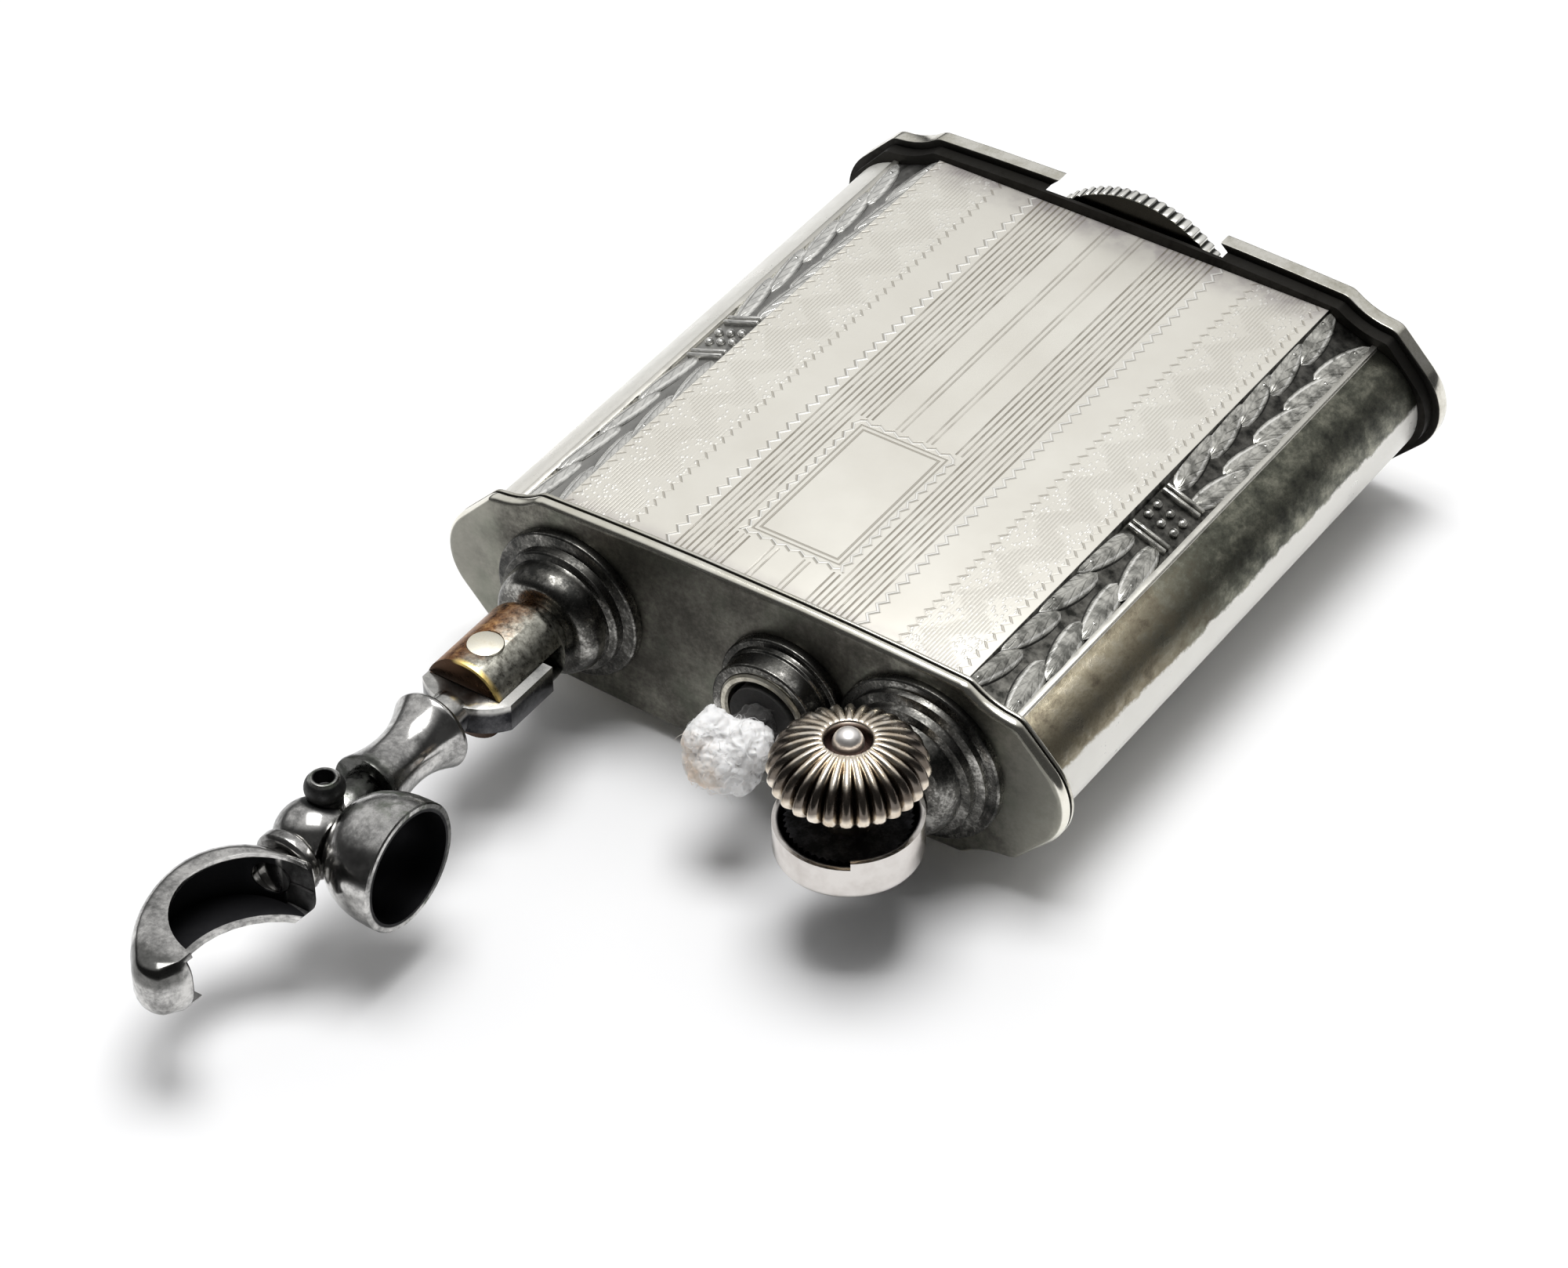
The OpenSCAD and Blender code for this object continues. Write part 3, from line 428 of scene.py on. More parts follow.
caseLook = {
    "ribAt": 15.98,
    "ribHalf": 0.19,
    "leftGround": (-12.9, -12.8),  # the ground is painted paler on the left side, as painted light
    "leftGlintFrom": (-15.2, -14.8),  # and the flank there carries a painted grazing highlight
    "warmTo": (9.0, 19.0),  # the near end of the flank is warmer
    "floorReflectionBelow": (0.8, 1.05),  # the flank carries a painted reflection of the floor below this height
    "panel": [(0.3, (0.67, 0.645, 0.58)), (0.7, (0.73, 0.71, 0.645))],
    "stain": (0.42, 0.39, 0.38),
    "cut": (0.22, 0.19, 0.14),
    "fleck": (0.86, 0.85, 0.81),
    "ground": [(0.35, (0.02, 0.02, 0.018)), (0.75, (0.16, 0.155, 0.14))],
    "leftGroundLight": (0.56, 0.555, 0.53),
    "sideDark": [(0.36, (0.045, 0.046, 0.038)), (0.5, (0.12, 0.122, 0.096)), (0.66, (0.3, 0.295, 0.235))],
    "sideWarm": [(0.34, (0.13, 0.11, 0.08)), (0.5, (0.3, 0.265, 0.19)), (0.66, (0.46, 0.42, 0.33))],
    "polished": (0.93, 0.915, 0.86),
    "rib": (0.68, 0.665, 0.61),
}


# A wriggled cut beside a line, and the bright fleck next to it
def wriggledCut(across, along, cut):
    wave = addShare(zigzag(along, cut["period"]), cut["swing"], cut["at"])
    off = minus(across, wave)
    line = times(stripe(off, 0.0, *cut["line"]), firstLeg(along, cut["period"]))
    return line, stripe(off, *cut["fleck"])


# Cuts and flecks of the engine turning: x and y from the middle of the case and the deck face
def engineTurning(local, x, y):
    cut = caseEngraving
    strength = cut["strength"]
    shifted = minus(x, cut["offset"])
    across = unsigned(shifted)

    # Pairs of lines and the ruled fields
    pairs = most(*[stripe(across, place, 0.02, 0.06) for place in cut["pairs"]])
    fineFrom, fineTo = cut["fine"]
    fine = times(ruling(minus(across, fineFrom), cut["finePitch"], 0.06, 0.2),
                 rise(across, fineFrom - 0.1, fineFrom - 0.08),
                 fall(across, fineTo + 0.06, fineTo + 0.08))

    # The shield: a double border with a wriggled line round it
    shieldX = minus(unsigned(minus(shifted, cut["shieldX"])), cut["shieldHalf"][0])
    shieldY = minus(unsigned(minus(y, cut["shieldY"])), cut["shieldHalf"][1])
    shield = most(shieldX, shieldY)
    outside = rise(shield, 0.95, 1.0)
    border = most(*[stripe(shield, *line) for line in cut["borders"]])
    along = mixValue(calc("GREATER_THAN", shieldY, shieldX), y, x)
    shieldWriggle, shieldFleck = wriggledCut(shield, along, cut["shieldWriggle"])
    wriggle, wriggleFleck = wriggledCut(across, y, cut["wriggle"])

    # Hatched outer fields: fine ruling broken up by wavy flecks, between two zigzags
    hatchFrom, hatchTo = cut["hatch"]
    drift = minus(speckle(local, 0.9, 1.0), 0.5)
    wander = zigzag(addShare(drift, cut["ribbon"]["drift"], y), cut["ribbon"]["period"])
    wander = addShare(wander, cut["ribbon"]["swing"], (hatchFrom + hatchTo) / 2)
    ribbon = rise(unsigned(minus(across, wander)), 0.5, 1.2, 1.0, 0.15)
    teeth = cut["zigzag"]
    hatchEdge = times(zigzag(y, teeth["period"]), teeth["swing"])
    fromInner = minus(across, hatchEdge)
    fromOuter = calc("ADD", across, hatchEdge)
    inHatch = times(rise(fromInner, hatchFrom, hatchFrom + 0.06),
                    fall(fromOuter, hatchTo - 0.06, hatchTo))
    hatch = times(ruling(across, cut["hatchPitch"], 0.08, 0.26), ribbon, inHatch)
    chipSpot = addNode("ShaderNodeMapping", {"Vector": local, "Scale": cut["chips"]}).outputs[0]
    chips = addNode("ShaderNodeTexVoronoi", {"Vector": chipSpot, "Scale": 1.0}, feature="F1")
    chip = times(fall(chips.outputs["Distance"], 0.2, 0.42), inHatch,
                 rise(ribbon, 0.0, 0.8, 1.0, 0.2))
    zigzags = most(stripe(fromInner, hatchFrom, *teeth["line"]),
                   stripe(fromOuter, hatchTo, *teeth["line"]))
    zigzags = times(zigzags, firstLeg(y, teeth["period"]))

    faint = rise(speckle(local, 1.1, 3.0, 0.6, stretch=(2.2, 0.35, 1.0)), 0.36, 0.6, 0.5, 1.0)
    straight = most(times(pairs, strength["pairs"]), times(fine, strength["fine"]))
    cuts = most(times(straight, outside, faint),
                times(border, strength["border"]),
                times(wriggle, strength["wriggle"]),
                times(hatch, strength["hatch"]),
                times(shieldWriggle, strength["wriggle"]),
                times(zigzags, strength["zigzag"]))
    return cuts, most(times(chip, strength["chip"]), wriggleFleck, shieldFleck)


def caseFinish():
    look = caseLook
    spot = newFinish("engineTurnedSilver")
    local, x, y, z = splitFrom(spot)
    wide = unsigned(x)
    panelHalf, panelHigh = caseEngraving["panelHalf"], caseEngraving["panelHigh"]
    onPanel = times(fall(wide, panelHalf + 0.02, panelHalf + 0.06),
                    rise(unsigned(z), panelHigh, panelHigh + 0.05))
    cuts, flecks = engineTurning(local, x, y)
    cuts = times(cuts, onPanel)
    flecks = times(flecks, onPanel)

    # Pale panel, darker at both ends: stain, and at the foot end also a painted reflection of the dark room
    cloud = speckle(local, 0.16, 5.0, 0.6)
    clean = times(fall(y, 36.0, 38.8), rise(y, 1.0, 3.0))
    stainAndReflectionCloud = rise(speckle(local, 0.7, 4.0), 0.35, 0.65, 0.35, 1.0)
    stained = times(minus(1.0, clean), stainAndReflectionCloud)
    panel = mixColor(stained, colorRamp(cloud, look["panel"]), look["stain"])
    panel = mixColor(times(cuts, 0.72), panel, look["cut"])
    panel = mixColor(times(flecks, 0.7), panel, look["fleck"])

    # Dark ground under the leaves, bright rib, stained flank with a painted reflection of the floor along
    # its lower strip
    ground = colorRamp(speckle(local, 1.6, 4.0), look["ground"])
    # Painted light: the ground is paler on the left side
    ground = mixColor(fall(x, *look["leftGround"], 0.7), ground, look["leftGroundLight"])
    onRib = stripe(wide, look["ribAt"], look["ribHalf"], 0.03)
    beyond = rise(wide, look["ribAt"] + 0.18, look["ribAt"] + 0.22)
    moss = speckle(local, 0.7, 8.0, 0.74, stretch=(1.0, 0.75, 1.0))
    uneven = minus(moss, 0.5)
    side = mixColor(fall(addShare(uneven, 22.0, y), *look["warmTo"]),
                    colorRamp(moss, look["sideDark"]), colorRamp(moss, look["sideWarm"]))
    low = addShare(fall(y, 2.0, 16.0), -0.5, addShare(uneven, 1.1, z))
    # Painted reflection of the floor along the flank's lower strip, and a painted grazing highlight on the
    # left flank
    leftGlint = fall(addShare(moss, 1.5, x), *look["leftGlintFrom"], 0.85)
    polished = times(most(fall(low, *look["floorReflectionBelow"]), leftGlint), beyond)
    side = mixColor(polished, side, look["polished"])
    flank = mixColor(onRib, mixColor(beyond, ground, side), look["rib"])
    color = mixColor(onPanel, flank, panel)

    hazy = most(onPanel, times(polished, 0.85))
    feed(addShare(hazy, -caseEngraving["haze"], 1.0), "Metallic")
    rough = mixValue(onPanel, rise(moss, 0.3, 0.7, 0.46, 0.26), addShare(cloud, 0.1, 0.3))
    height = minus(times(flecks, 0.7), cuts)
    polish(color, rough, addShare(uneven, times(beyond, 0.7), height), 0.00006, 0.8)


caseFinish()

# The deck: a mottled patina on the face, worn bright on its rounded edges
deckLook = {
    "face": (0.03, 0.09),  # past this depth the edge begins
    "ends": (14.0, 18.0),  # distance from the middle, where the deck gets paler
    "middle": (4.0, 11.0),
    "mottle": [(0.36, (0.045, 0.042, 0.036)), (0.48, (0.11, 0.105, 0.09)),
               (0.58, (0.2, 0.195, 0.165)), (0.72, (0.36, 0.35, 0.3))],
    "endColor": (0.31, 0.305, 0.265),
    "middleColor": (0.06, 0.055, 0.048),
    "green": (0.15, 0.17, 0.13),
    "edge": [(0.3, (0.66, 0.63, 0.52)), (0.55, (0.88, 0.86, 0.77))],
    "edgeRough": 0.16,
    "faceRough": (0.46, 0.3),
}


def deckFinish():
    look = deckLook
    spot = newFinish("deckPatina")
    local, x, y, _ = splitFrom(spot)
    onFace = fall(y, *look["face"])
    blotch = speckle(local, 0.3, 8.0, 0.68)
    grain = speckle(local, 3.2, 5.0, 0.75)
    mottle = addShare(grain, 0.35, times(blotch, 0.7))
    reach = addShare(minus(blotch, 0.5), 6.0, unsigned(x))
    face = colorRamp(mottle, look["mottle"])
    face = mixColor(rise(reach, *look["ends"], 0.0, 0.7), face, look["endColor"])
    face = mixColor(fall(reach, *look["middle"], 0.4), face, look["middleColor"])
    green = rise(speckle(local, 0.22, 3.0), 0.48, 0.68, 0.0, 0.35)
    face = mixColor(green, face, look["green"])
    color = mixColor(onFace, colorRamp(blotch, look["edge"]), face)
    faceRough = rise(mottle, 0.3, 0.75, *look["faceRough"])
    rough = mixValue(onFace, look["edgeRough"], faceRough)
    polish(color, rough, times(mottle, onFace), 0.00003)


deckFinish()
armX = -11.4  # the arm's middle plane, mm from the middle of the case

# The barrel of the hinge: plating worn through to copper and brass, with painted shade underneath and a
# painted gold highlight on the end's rim
barrelLook = {
    "endAt": (-9.7, -9.64),
    "rim": (2.26, 2.36),
    "crescent": {"slant": 0.9, "from": (1.6, 2.5), "length": (-9.66, -9.3)},
    "nickel": [(0.35, (0.16, 0.155, 0.13)), (0.65, (0.5, 0.49, 0.43))],
    "copper": [(0.32, (0.07, 0.03, 0.014)), (0.5, (0.28, 0.13, 0.055)), (0.68, (0.56, 0.33, 0.15))],
    "under": (0.03, 0.03, 0.028),
    "end": (0.05, 0.026, 0.014),
    "gold": (0.96, 0.72, 0.26),
    "roughness": (0.24, 0.42),
}


def barrelFinish():
    look = barrelLook
    spot = newFinish("wornPlating")
    local, x, y, z = splitFrom(spot, armX)
    cloud = speckle(local, 0.55, 6.0, 0.7)
    grain = speckle(local, 2.4, 5.0, 0.75)
    leftwards = addShare(minus(cloud, 0.5), 3.4, times(x, -1.0))
    worn = times(rise(leftwards, -0.9, 0.7), rise(z, -0.8, 1.2))
    color = mixColor(worn, colorRamp(grain, look["nickel"]), colorRamp(grain, look["copper"]))
    # Painted shade on the barrel's underside
    color = mixColor(fall(z, -0.9, -0.2, 0.85), color, look["under"])
    color = mixColor(fall(y, *look["endAt"]), color, look["end"])
    # Painted highlight: a gold crescent on the rim of the barrel's end
    gilt = look["crescent"]
    crescent = times(rise(addShare(x, gilt["slant"], z), *gilt["from"]), fall(y, *gilt["length"]),
                     rise(awayFrom(x, 0.0, z, 0.0), *look["rim"]))
    color = mixColor(crescent, color, look["gold"])
    rough = rise(grain, 0.3, 0.7, *look["roughness"])
    polish(color, rough, grain, 0.00002, 0.4)


barrelFinish()

# The arm: nickel, dark with verdigris where shank, ball and pin meet.
# Places are measured from the arm's plane, the deck face and mid-depth.
armLook = {
    "crevice": (-19.9, 1.6, 1.6),
    "neck": (-18.5, 0.85, 0.5),
    "bend": (-34.7, -34.0),
    "ramp": [(0.36, (0.1, 0.1, 0.096)), (0.48, (0.31, 0.306, 0.298)), (0.62, (0.64, 0.63, 0.61))],
    "verdigris": (0.055, 0.07, 0.045),
    "shade": (0.03, 0.031, 0.028),
    "sootAndShade": (0.012, 0.012, 0.013),
    "roughness": (0.27, 0.09),
}
hookShade = {
    "bore": (0.8, -30.25),  # middle of the hook's inner curve
    "boreReach": (4.2, 4.3),
    "outer": (3.9, -31.35),
    "outerReach": (5.2, 5.3),
    "tip": (-33.9, -33.7),  # the tip stays pale
    "root": (-25.6, -25.3),
    "floor": (-1.47, -1.42),
    "rimFloor": (-1.62, -1.58),
    "roof": (1.42, 1.47),
}
cupSootAndShade = {"mouth": 4.79, "middle": -21.7, "radius": 3.3, "depth": 3.0, "edge": (0.97, 1.03)}
pinSootAndShade = {
    "middle": -21.45, "hollow": (0.6, 0.66), "foot": (1.2, 1.5), "top": (3.22, 3.3), "from": (1.5, 1.9)}


# Painted shade inside the hook and round the pin; soot and painted shade inside the snuffer
def armSootAndShade(x, y, z):
    hook = hookShade
    inBore = fall(awayFrom(x, hook["bore"][0], y, hook["bore"][1]), *hook["boreReach"])
    atRoot = times(rise(x, 0.4, 0.7), rise(y, *hook["tip"]), fall(y, *hook["root"], 0.9))
    offRim = rise(awayFrom(x, hook["outer"][0], y, hook["outer"][1]), *hook["outerReach"])
    floored = most(rise(z, *hook["floor"]), times(offRim, rise(z, *hook["rimFloor"])))
    inHook = times(most(inBore, atRoot), fall(z, *hook["roof"]), floored)
    bowl = calc("DIVIDE", awayFrom(y, cupSootAndShade["middle"], z, 0.0), cupSootAndShade["radius"])
    depth = calc("DIVIDE", most(minus(cupSootAndShade["mouth"], x), 0.0), cupSootAndShade["depth"])
    inBowl = fall(addShare(bowl, bowl, times(depth, depth)), *cupSootAndShade["edge"])
    pinReach = awayFrom(x, 0.0, y, pinSootAndShade["middle"])
    pinTop = times(rise(z, *pinSootAndShade["top"]), rise(pinReach, *pinSootAndShade["hollow"]))
    onPin = times(fall(pinReach, *pinSootAndShade["foot"]), rise(z, *pinSootAndShade["from"]),
                  addShare(pinTop, -0.9, 0.9))
    return most(inHook, inBowl, onPin)


def armFinish():
    look = armLook
    spot = newFinish("armNickel")
    local, x, y, z = splitFrom(spot, armX)
    cloud = speckle(local, 0.5, 6.0, 0.7)
    grain = speckle(local, 3.0, 4.0, 0.75)
    worn = addShare(grain, 0.35, times(cloud, 0.7))
    crevice = stripe(y, *look["crevice"])
    green = times(crevice, rise(speckle(local, 1.1, 5.0), 0.42, 0.6))
    color = mixColor(times(green, 0.75), colorRamp(worn, look["ramp"]), look["verdigris"])
    cloudyY = addShare(cloud, 0.8, y)
    # Painted shade round the neck and across the top of the hook's bend
    neck = stripe(cloudyY, *look["neck"])
    bend = times(fall(cloudyY, *look["bend"]), rise(z, 0.2, 0.8))
    color = mixColor(most(times(neck, 0.85), times(bend, 0.75)), color, look["shade"])
    # Painted shade inside the hook and round the pin, soot and painted shade inside the snuffer
    sootAndShade = armSootAndShade(x, y, z)
    color = mixColor(sootAndShade, color, look["sootAndShade"])
    rough = rise(worn, 0.35, 0.7, *look["roughness"])
    rough = addShare(most(green, sootAndShade), 0.35, rough)
    polish(color, rough, worn, 0.00001)


armFinish()

# The lug in the fork: a top painted pale as painted light, over sides painted black as painted shade
lugLook = {
    "topFrom": (0.55, 0.95),
    "paintedLitTop": [(0.4, (0.66, 0.65, 0.62)), (0.65, (0.3, 0.3, 0.29))],
    "dark": [(0.4, (0.014, 0.014, 0.016)), (0.7, (0.09, 0.09, 0.094))],
    "roughness": (0.12, 0.3),
}


def lugFinish():
    look = lugLook
    spot = newFinish("lugNickel")
    local, _, _, z = splitFrom(spot, armX)
    cloud = speckle(local, 0.8, 6.0, 0.7)
    # Painted light on the lug's top and painted shade on its sides
    top = rise(addShare(cloud, 0.5, z), *look["topFrom"])
    color = mixColor(top, colorRamp(cloud, look["dark"]), colorRamp(cloud, look["paintedLitTop"]))
    rough = rise(cloud, 0.3, 0.7, *look["roughness"])
    polish(color, rough, cloud, 0.000006)


lugFinish()

# Cotton for wick and packing
cottonLook = {
    "clean": [(0.3, (0.94, 0.935, 0.92)), (0.6, (0.99, 0.985, 0.98))],
    "stainFrom": (7.6, 9.6),
    "stain": (0.93, 0.72, 0.54),
    "rootShadeFrom": (-3.7, -2.9),  # from the deck face
    "rootShadeTo": 2.0,
    "rootShade": (0.02, 0.019, 0.018),
    "subsurface": {"Weight": 0.25, "Radius": (0.6, 0.55, 0.5), "Scale": 0.0006},
}


def cottonFinish(name, stained):
    look = cottonLook
    spot = newFinish(name, 0.0)
    cloud = speckle(spot, 0.9, 5.0, 0.6)
    color = colorRamp(cloud, look["clean"])
    if stained:
        x, y, _ = axes(spot)
        deckAt = deckY / mm
        outwards = minus(times(y, -1.0), times(x, 0.4))
        patch = rise(addShare(minus(cloud, 0.5), 3.0, outwards), *look["stainFrom"])
        color = mixColor(times(patch, 0.9), color, look["stain"])
        # Painted shade: the wick's root inside the tube mouth is nearly black
        rootShadeFrom, rootShadeFull = look["rootShadeFrom"]
        neck = times(rise(addShare(cloud, 1.2, y), deckAt + rootShadeFrom, deckAt + rootShadeFull),
                     fall(y, deckAt, deckAt + look["rootShadeTo"], 0.98))
        color = mixColor(neck, color, look["rootShade"])
    fibres = speckle(spot, 5.0, 6.0, 0.8, stretch=(1.0, 3.0, 1.0))
    rough = rise(fibres, 0.3, 0.7, 0.85, 1.0)
    setSocket("Sheen Weight", 0.12 if stained else 0.4)
    setSocket("Sheen Roughness", 0.5)
    for part, value in look["subsurface"].items():
        setSocket("Subsurface " + part, value)
    polish(color, rough, fibres, 0.00006, 0.6)


cottonFinish("packedCotton", False)
cottonFinish("fluffedCotton", True)

# Leather of the gasket
leatherLook = {
    "cell": 3.5,
    "grain": [(0.1, (0.3, 0.18, 0.09)), (0.6, (0.16, 0.09, 0.045))],
    "roughness": (0.6, 0.85),
}


def leatherFinish():
    look = leatherLook
    spot = newFinish("gasketLeather", 0.0)
    grain = addNode("ShaderNodeTexVoronoi", {"Vector": spot, "Scale": look["cell"]}, feature="F1").outputs[0]
    color = colorRamp(grain, look["grain"])
    rough = rise(grain, 0.0, 0.7, *look["roughness"])
    polish(color, rough, grain, 0.00005, 0.6)


leatherFinish()
print("finishes ready")


# Dressing of the turned and pressed parts: a merged copy with smooth faces and eased edges
def newPiece(name, data):
    piece = bpy.data.objects.new(name, data)
    bpy.context.collection.objects.link(piece)
    return piece


def onlySelect(piece):
    bpy.ops.object.select_all(action="DESELECT")
    piece.select_set(True)
    bpy.context.view_layer.objects.active = piece


def settle(piece):
    onlySelect(piece)
    bpy.ops.object.transform_apply(location=True, rotation=True, scale=True)


# Joins points that lie closer than merge, and turns all faces outwards
def cleanMesh(merge=0.0):
    bpy.ops.object.mode_set(mode="EDIT")
    bpy.ops.mesh.select_all(action="SELECT")
    if merge:
        bpy.ops.mesh.remove_doubles(threshold=merge)
    bpy.ops.mesh.normals_make_consistent(inside=False)
    bpy.ops.object.mode_set(mode="OBJECT")


def applyModifiers(piece):
    onlySelect(piece)
    for modifier in list(piece.modifiers):
        bpy.ops.object.modifier_apply(modifier=modifier.name)


def setFinish(piece, finishName):
    piece.data.materials.clear()
    piece.data.materials.append(bpy.data.materials[finishName])


def bodyOf(nodeName):
    for body, members in frame["record"]["behaviour"]["bodies"].items():
        if nodeName in members:
            return body


dressRules = {
    "merge": 2e-6,  # metres
    "flat": 0.4,  # degrees under which two faces count as one before the bevel
    "segments": 2,
    "bevelPast": 6,  # degrees past the smoothing angle at which an edge is eased
}


def dressNode(nodeName, pieceName, finish, slotName, bevel, angle, flatFaces=False):
    rules = dressRules
    source = frame["nodes"][nodeName]
    piece = newPiece(pieceName, source.data.copy())
    onlySelect(piece)
    bpy.ops.object.mode_set(mode="EDIT")
    bpy.ops.mesh.select_all(action="SELECT")
    bpy.ops.mesh.remove_doubles(threshold=rules["merge"])
    bpy.ops.mesh.customdata_custom_splitnormals_clear()
    if bevel:
        bpy.ops.mesh.dissolve_limited(angle_limit=math.radians(rules["flat"]))
    bpy.ops.object.mode_set(mode="OBJECT")
    if bevel:
        ease = piece.modifiers.new("easedEdges", "BEVEL")
        ease.width = bevel * mm
        ease.segments = rules["segments"]
        ease.limit_method = "ANGLE"
        ease.angle_limit = math.radians(angle + rules["bevelPast"])
        ease.use_clamp_overlap = True
        applyModifiers(piece)
    bpy.ops.object.shade_smooth_by_angle(angle=math.radians(angle))
    if flatFaces:
        flatten = piece.modifiers.new("flatFaces", "WEIGHTED_NORMAL")
        flatten.keep_sharp = True
        applyModifiers(piece)
    setFinish(piece, finish)
    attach(piece, bodyOf(nodeName))
    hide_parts(nodeName)
    return piece


# Node: piece, finish, slot, bevel in mm, smoothing angle in degrees, and whether flat faces stay flat
dressing = {
    "body_shell": ("caseShell", "engineTurnedSilver", "case_silver", 0.03, 30),
    "top_frame": ("deckFrame", "flangeNickel", "flange_nickel", 0.0, 42, True),
    "deck_plate": ("deckFace", "deckPatina", "deck_patina", 0.0, 42, True),
    "bottom_cap": ("footFlange", "flangeNickel", "flange_nickel", 0.0, 42, True),
    "filler_screw": ("fillerDisc", "reededNickel", "bright_nickel", 0.03, 40),
    "wick_tube": ("wickTube", "tubeNickel", "inner_brass", 0.0, 40),
    "wick_collar": ("wickCollar", "darkNickel", "dark_nickel", 0.04, 30),
    "flint_base": ("flintBase", "darkNickel", "dark_nickel", 0.04, 30),
    "wheel_housing": ("wheelHousing", "housingNickel", "bright_nickel", 0.03, 30),
    "wheel_axle": ("wheelAxle", "axleNickel", "bright_nickel", 0.0, 40),
    "striker_wheel": ("strikerWheel", "strikerSteel", "striker_steel", 0.0, 20),
    "arm_base": ("armBase", "darkNickel", "dark_nickel", 0.04, 30),
    "arm_post": ("armPost", "wornPlating", "worn_brass", 0.04, 30),
    "hinge_pin": ("hingeRivet", "rivetSteel", "rivet_steel", 0.04, 30),
    "arm_lug": ("armLug", "lugNickel", "dark_nickel", 0.05, 30),
    "arm_shank": ("armShank", "armNickel", "dark_nickel", 0.05, 30),
    "arm_hub": ("armBall", "armNickel", "dark_nickel", 0.03, 30),
    "cup_pin": ("cupPin", "armNickel", "dark_nickel", 0.06, 30),
    "snuffer_cup": ("snufferCup", "armNickel", "dark_nickel", 0.0, 35),
    "arm_collar": ("armCollar", "armNickel", "dark_nickel", 0.05, 30),
    "thumb_hook": ("thumbHook", "armNickel", "dark_nickel", 0.04, 36),
    "flint_screw": ("flintScrew", "brightNickel", "bright_nickel", 0.04, 30),
}
for nodeName, recipe in dressing.items():
    dressNode(nodeName, *recipe)

# What nobody sees keeps its own mesh
inside = {
    "filler_bush": "innerBrass",
    "filler_gasket": "gasketLeather",
    "cotton_packing": "packedCotton",
    "wick": "fluffedCotton",
    "flint_tube": "innerBrass",
    "flint": "flintAlloy",
    "flint_plunger": "innerBrass",
    "arm_nut": "innerBrass",
    "arm_plunger": "rivetSteel",
}
for nodeName, finishName in inside.items():
    setFinish(frame["nodes"][nodeName], finishName)

# The two coil springs, which shorten towards their fixed ends as their plungers travel; here each only gets
# a dressed copy with its own mesh
coilSprings = {
    "flint_spring": ("flintSpring", "flint_feed", (0.01115, 0.03196, 0.0071), 0.9685),
    "arm_spring": ("armSpring", "plunger_travel", (-0.0114, 0.00023, 0.0071), 0.83),
}
for nodeName, (pieceName, jointName, fixedEnd, kept) in coilSprings.items():
    spring = dressNode(nodeName, pieceName, "springSteel", "spring_steel", 0.0, 60)
    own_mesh(spring)
print("metal parts dressed")

# Laurel bands: overlapping leaves that run from a tied middle to both ends
leafBand = {
    "edge": 13.02,  # where the band starts beside the panel, mm from the middle
    "width": 2.79,
    "high": 4.75,  # height of its inner and outer edges over mid-depth
    "low": 3.69,
    "start": 1.2,
    "end": 38.6,
    "tie": 18.9,
    "tieHalf": 2.0,
    "pitch": 4.1,
    "length": 5.0,
    "leafWidth": 1.56,
    "rows": ((0.78, 10.0), (2.0, -10.0)),  # place across the band and splay in degrees
    "ridge": 0.3,
    "lift": 0.14,
    "wall": 0.16,
    "grid": (8, 10),
    "tips": (0.85, 0.48),  # exponents of the outline: where it is widest, and how blunt the tips are
    "uneven": (2, 0.08),  # random turn in degrees and random share of height
    "bar": (0.26, 0.5, 0.1),  # depth, height and eased edge of the tie's bars
    "barStep": 0.42,
    "berry": 0.21,
    "knot": {"from": 0.55, "step": 0.85, "rows": (-0.45, 0.5), "scale": (1.35, 1.35, 1.1)},
}
leafLook = {
    "metal": [(0.38, (0.19, 0.188, 0.17)), (0.6, (0.62, 0.61, 0.56))],
    "clean": (0.74, 0.735, 0.71),  # the left bands are painted paler, as painted light
    "veins": 5.5,
    "cut": (0.1, 0.1, 0.09),
    "shine": (0.95, 0.94, 0.9),
    "rim": (0.015, 0.015, 0.013),
    "roughness": (0.24, 0.1),
}


def leafFinish():
    look = leafLook
    spot = newFinish("chasedLeaf", 0.62)
    u, along, _ = axes(addNode("ShaderNodeTexCoord").outputs["UV"])
    across = unsigned(minus(u, 0.5))
    cloud = speckle(spot, 1.3, 5.0, 0.65)
    leftBand = fall(axes(spot)[0], *caseLook["leftGround"])
    # Painted light: the leaves of the left bands are paler
    color = mixColor(times(leftBand, 0.6), colorRamp(cloud, look["metal"]), look["clean"])
    slant = addShare(across, -0.7, along)
    veins = fall(calc("PINGPONG", times(slant, look["veins"]), 0.5), 0.05, 0.16)
    chased = most(times(veins, rise(across, 0.04, 0.1)), fall(across, 0.015, 0.05))
    color = mixColor(times(chased, 0.28), color, look["cut"])
    # Painted highlight: a bright streak along each leaf
    shine = times(stripe(across, 0.33, 0.025, 0.03), rise(cloud, 0.36, 0.5), 0.8)
    color = mixColor(shine, color, look["shine"])
    # Painted shade round each leaf's edge, less on the left bands
    rim = times(rise(across, 0.4, 0.46), addShare(leftBand, -0.3, 0.95))
    color = mixColor(rim, color, look["rim"])
    rough = rise(cloud, 0.3, 0.7, *look["roughness"])
    polish(color, rough, chased, -0.00002)


leafFinish()


def leafOutline(along):
    widest, blunt = leafBand["tips"]
    return max(math.sin(math.pi * along ** widest), 0.0) ** blunt


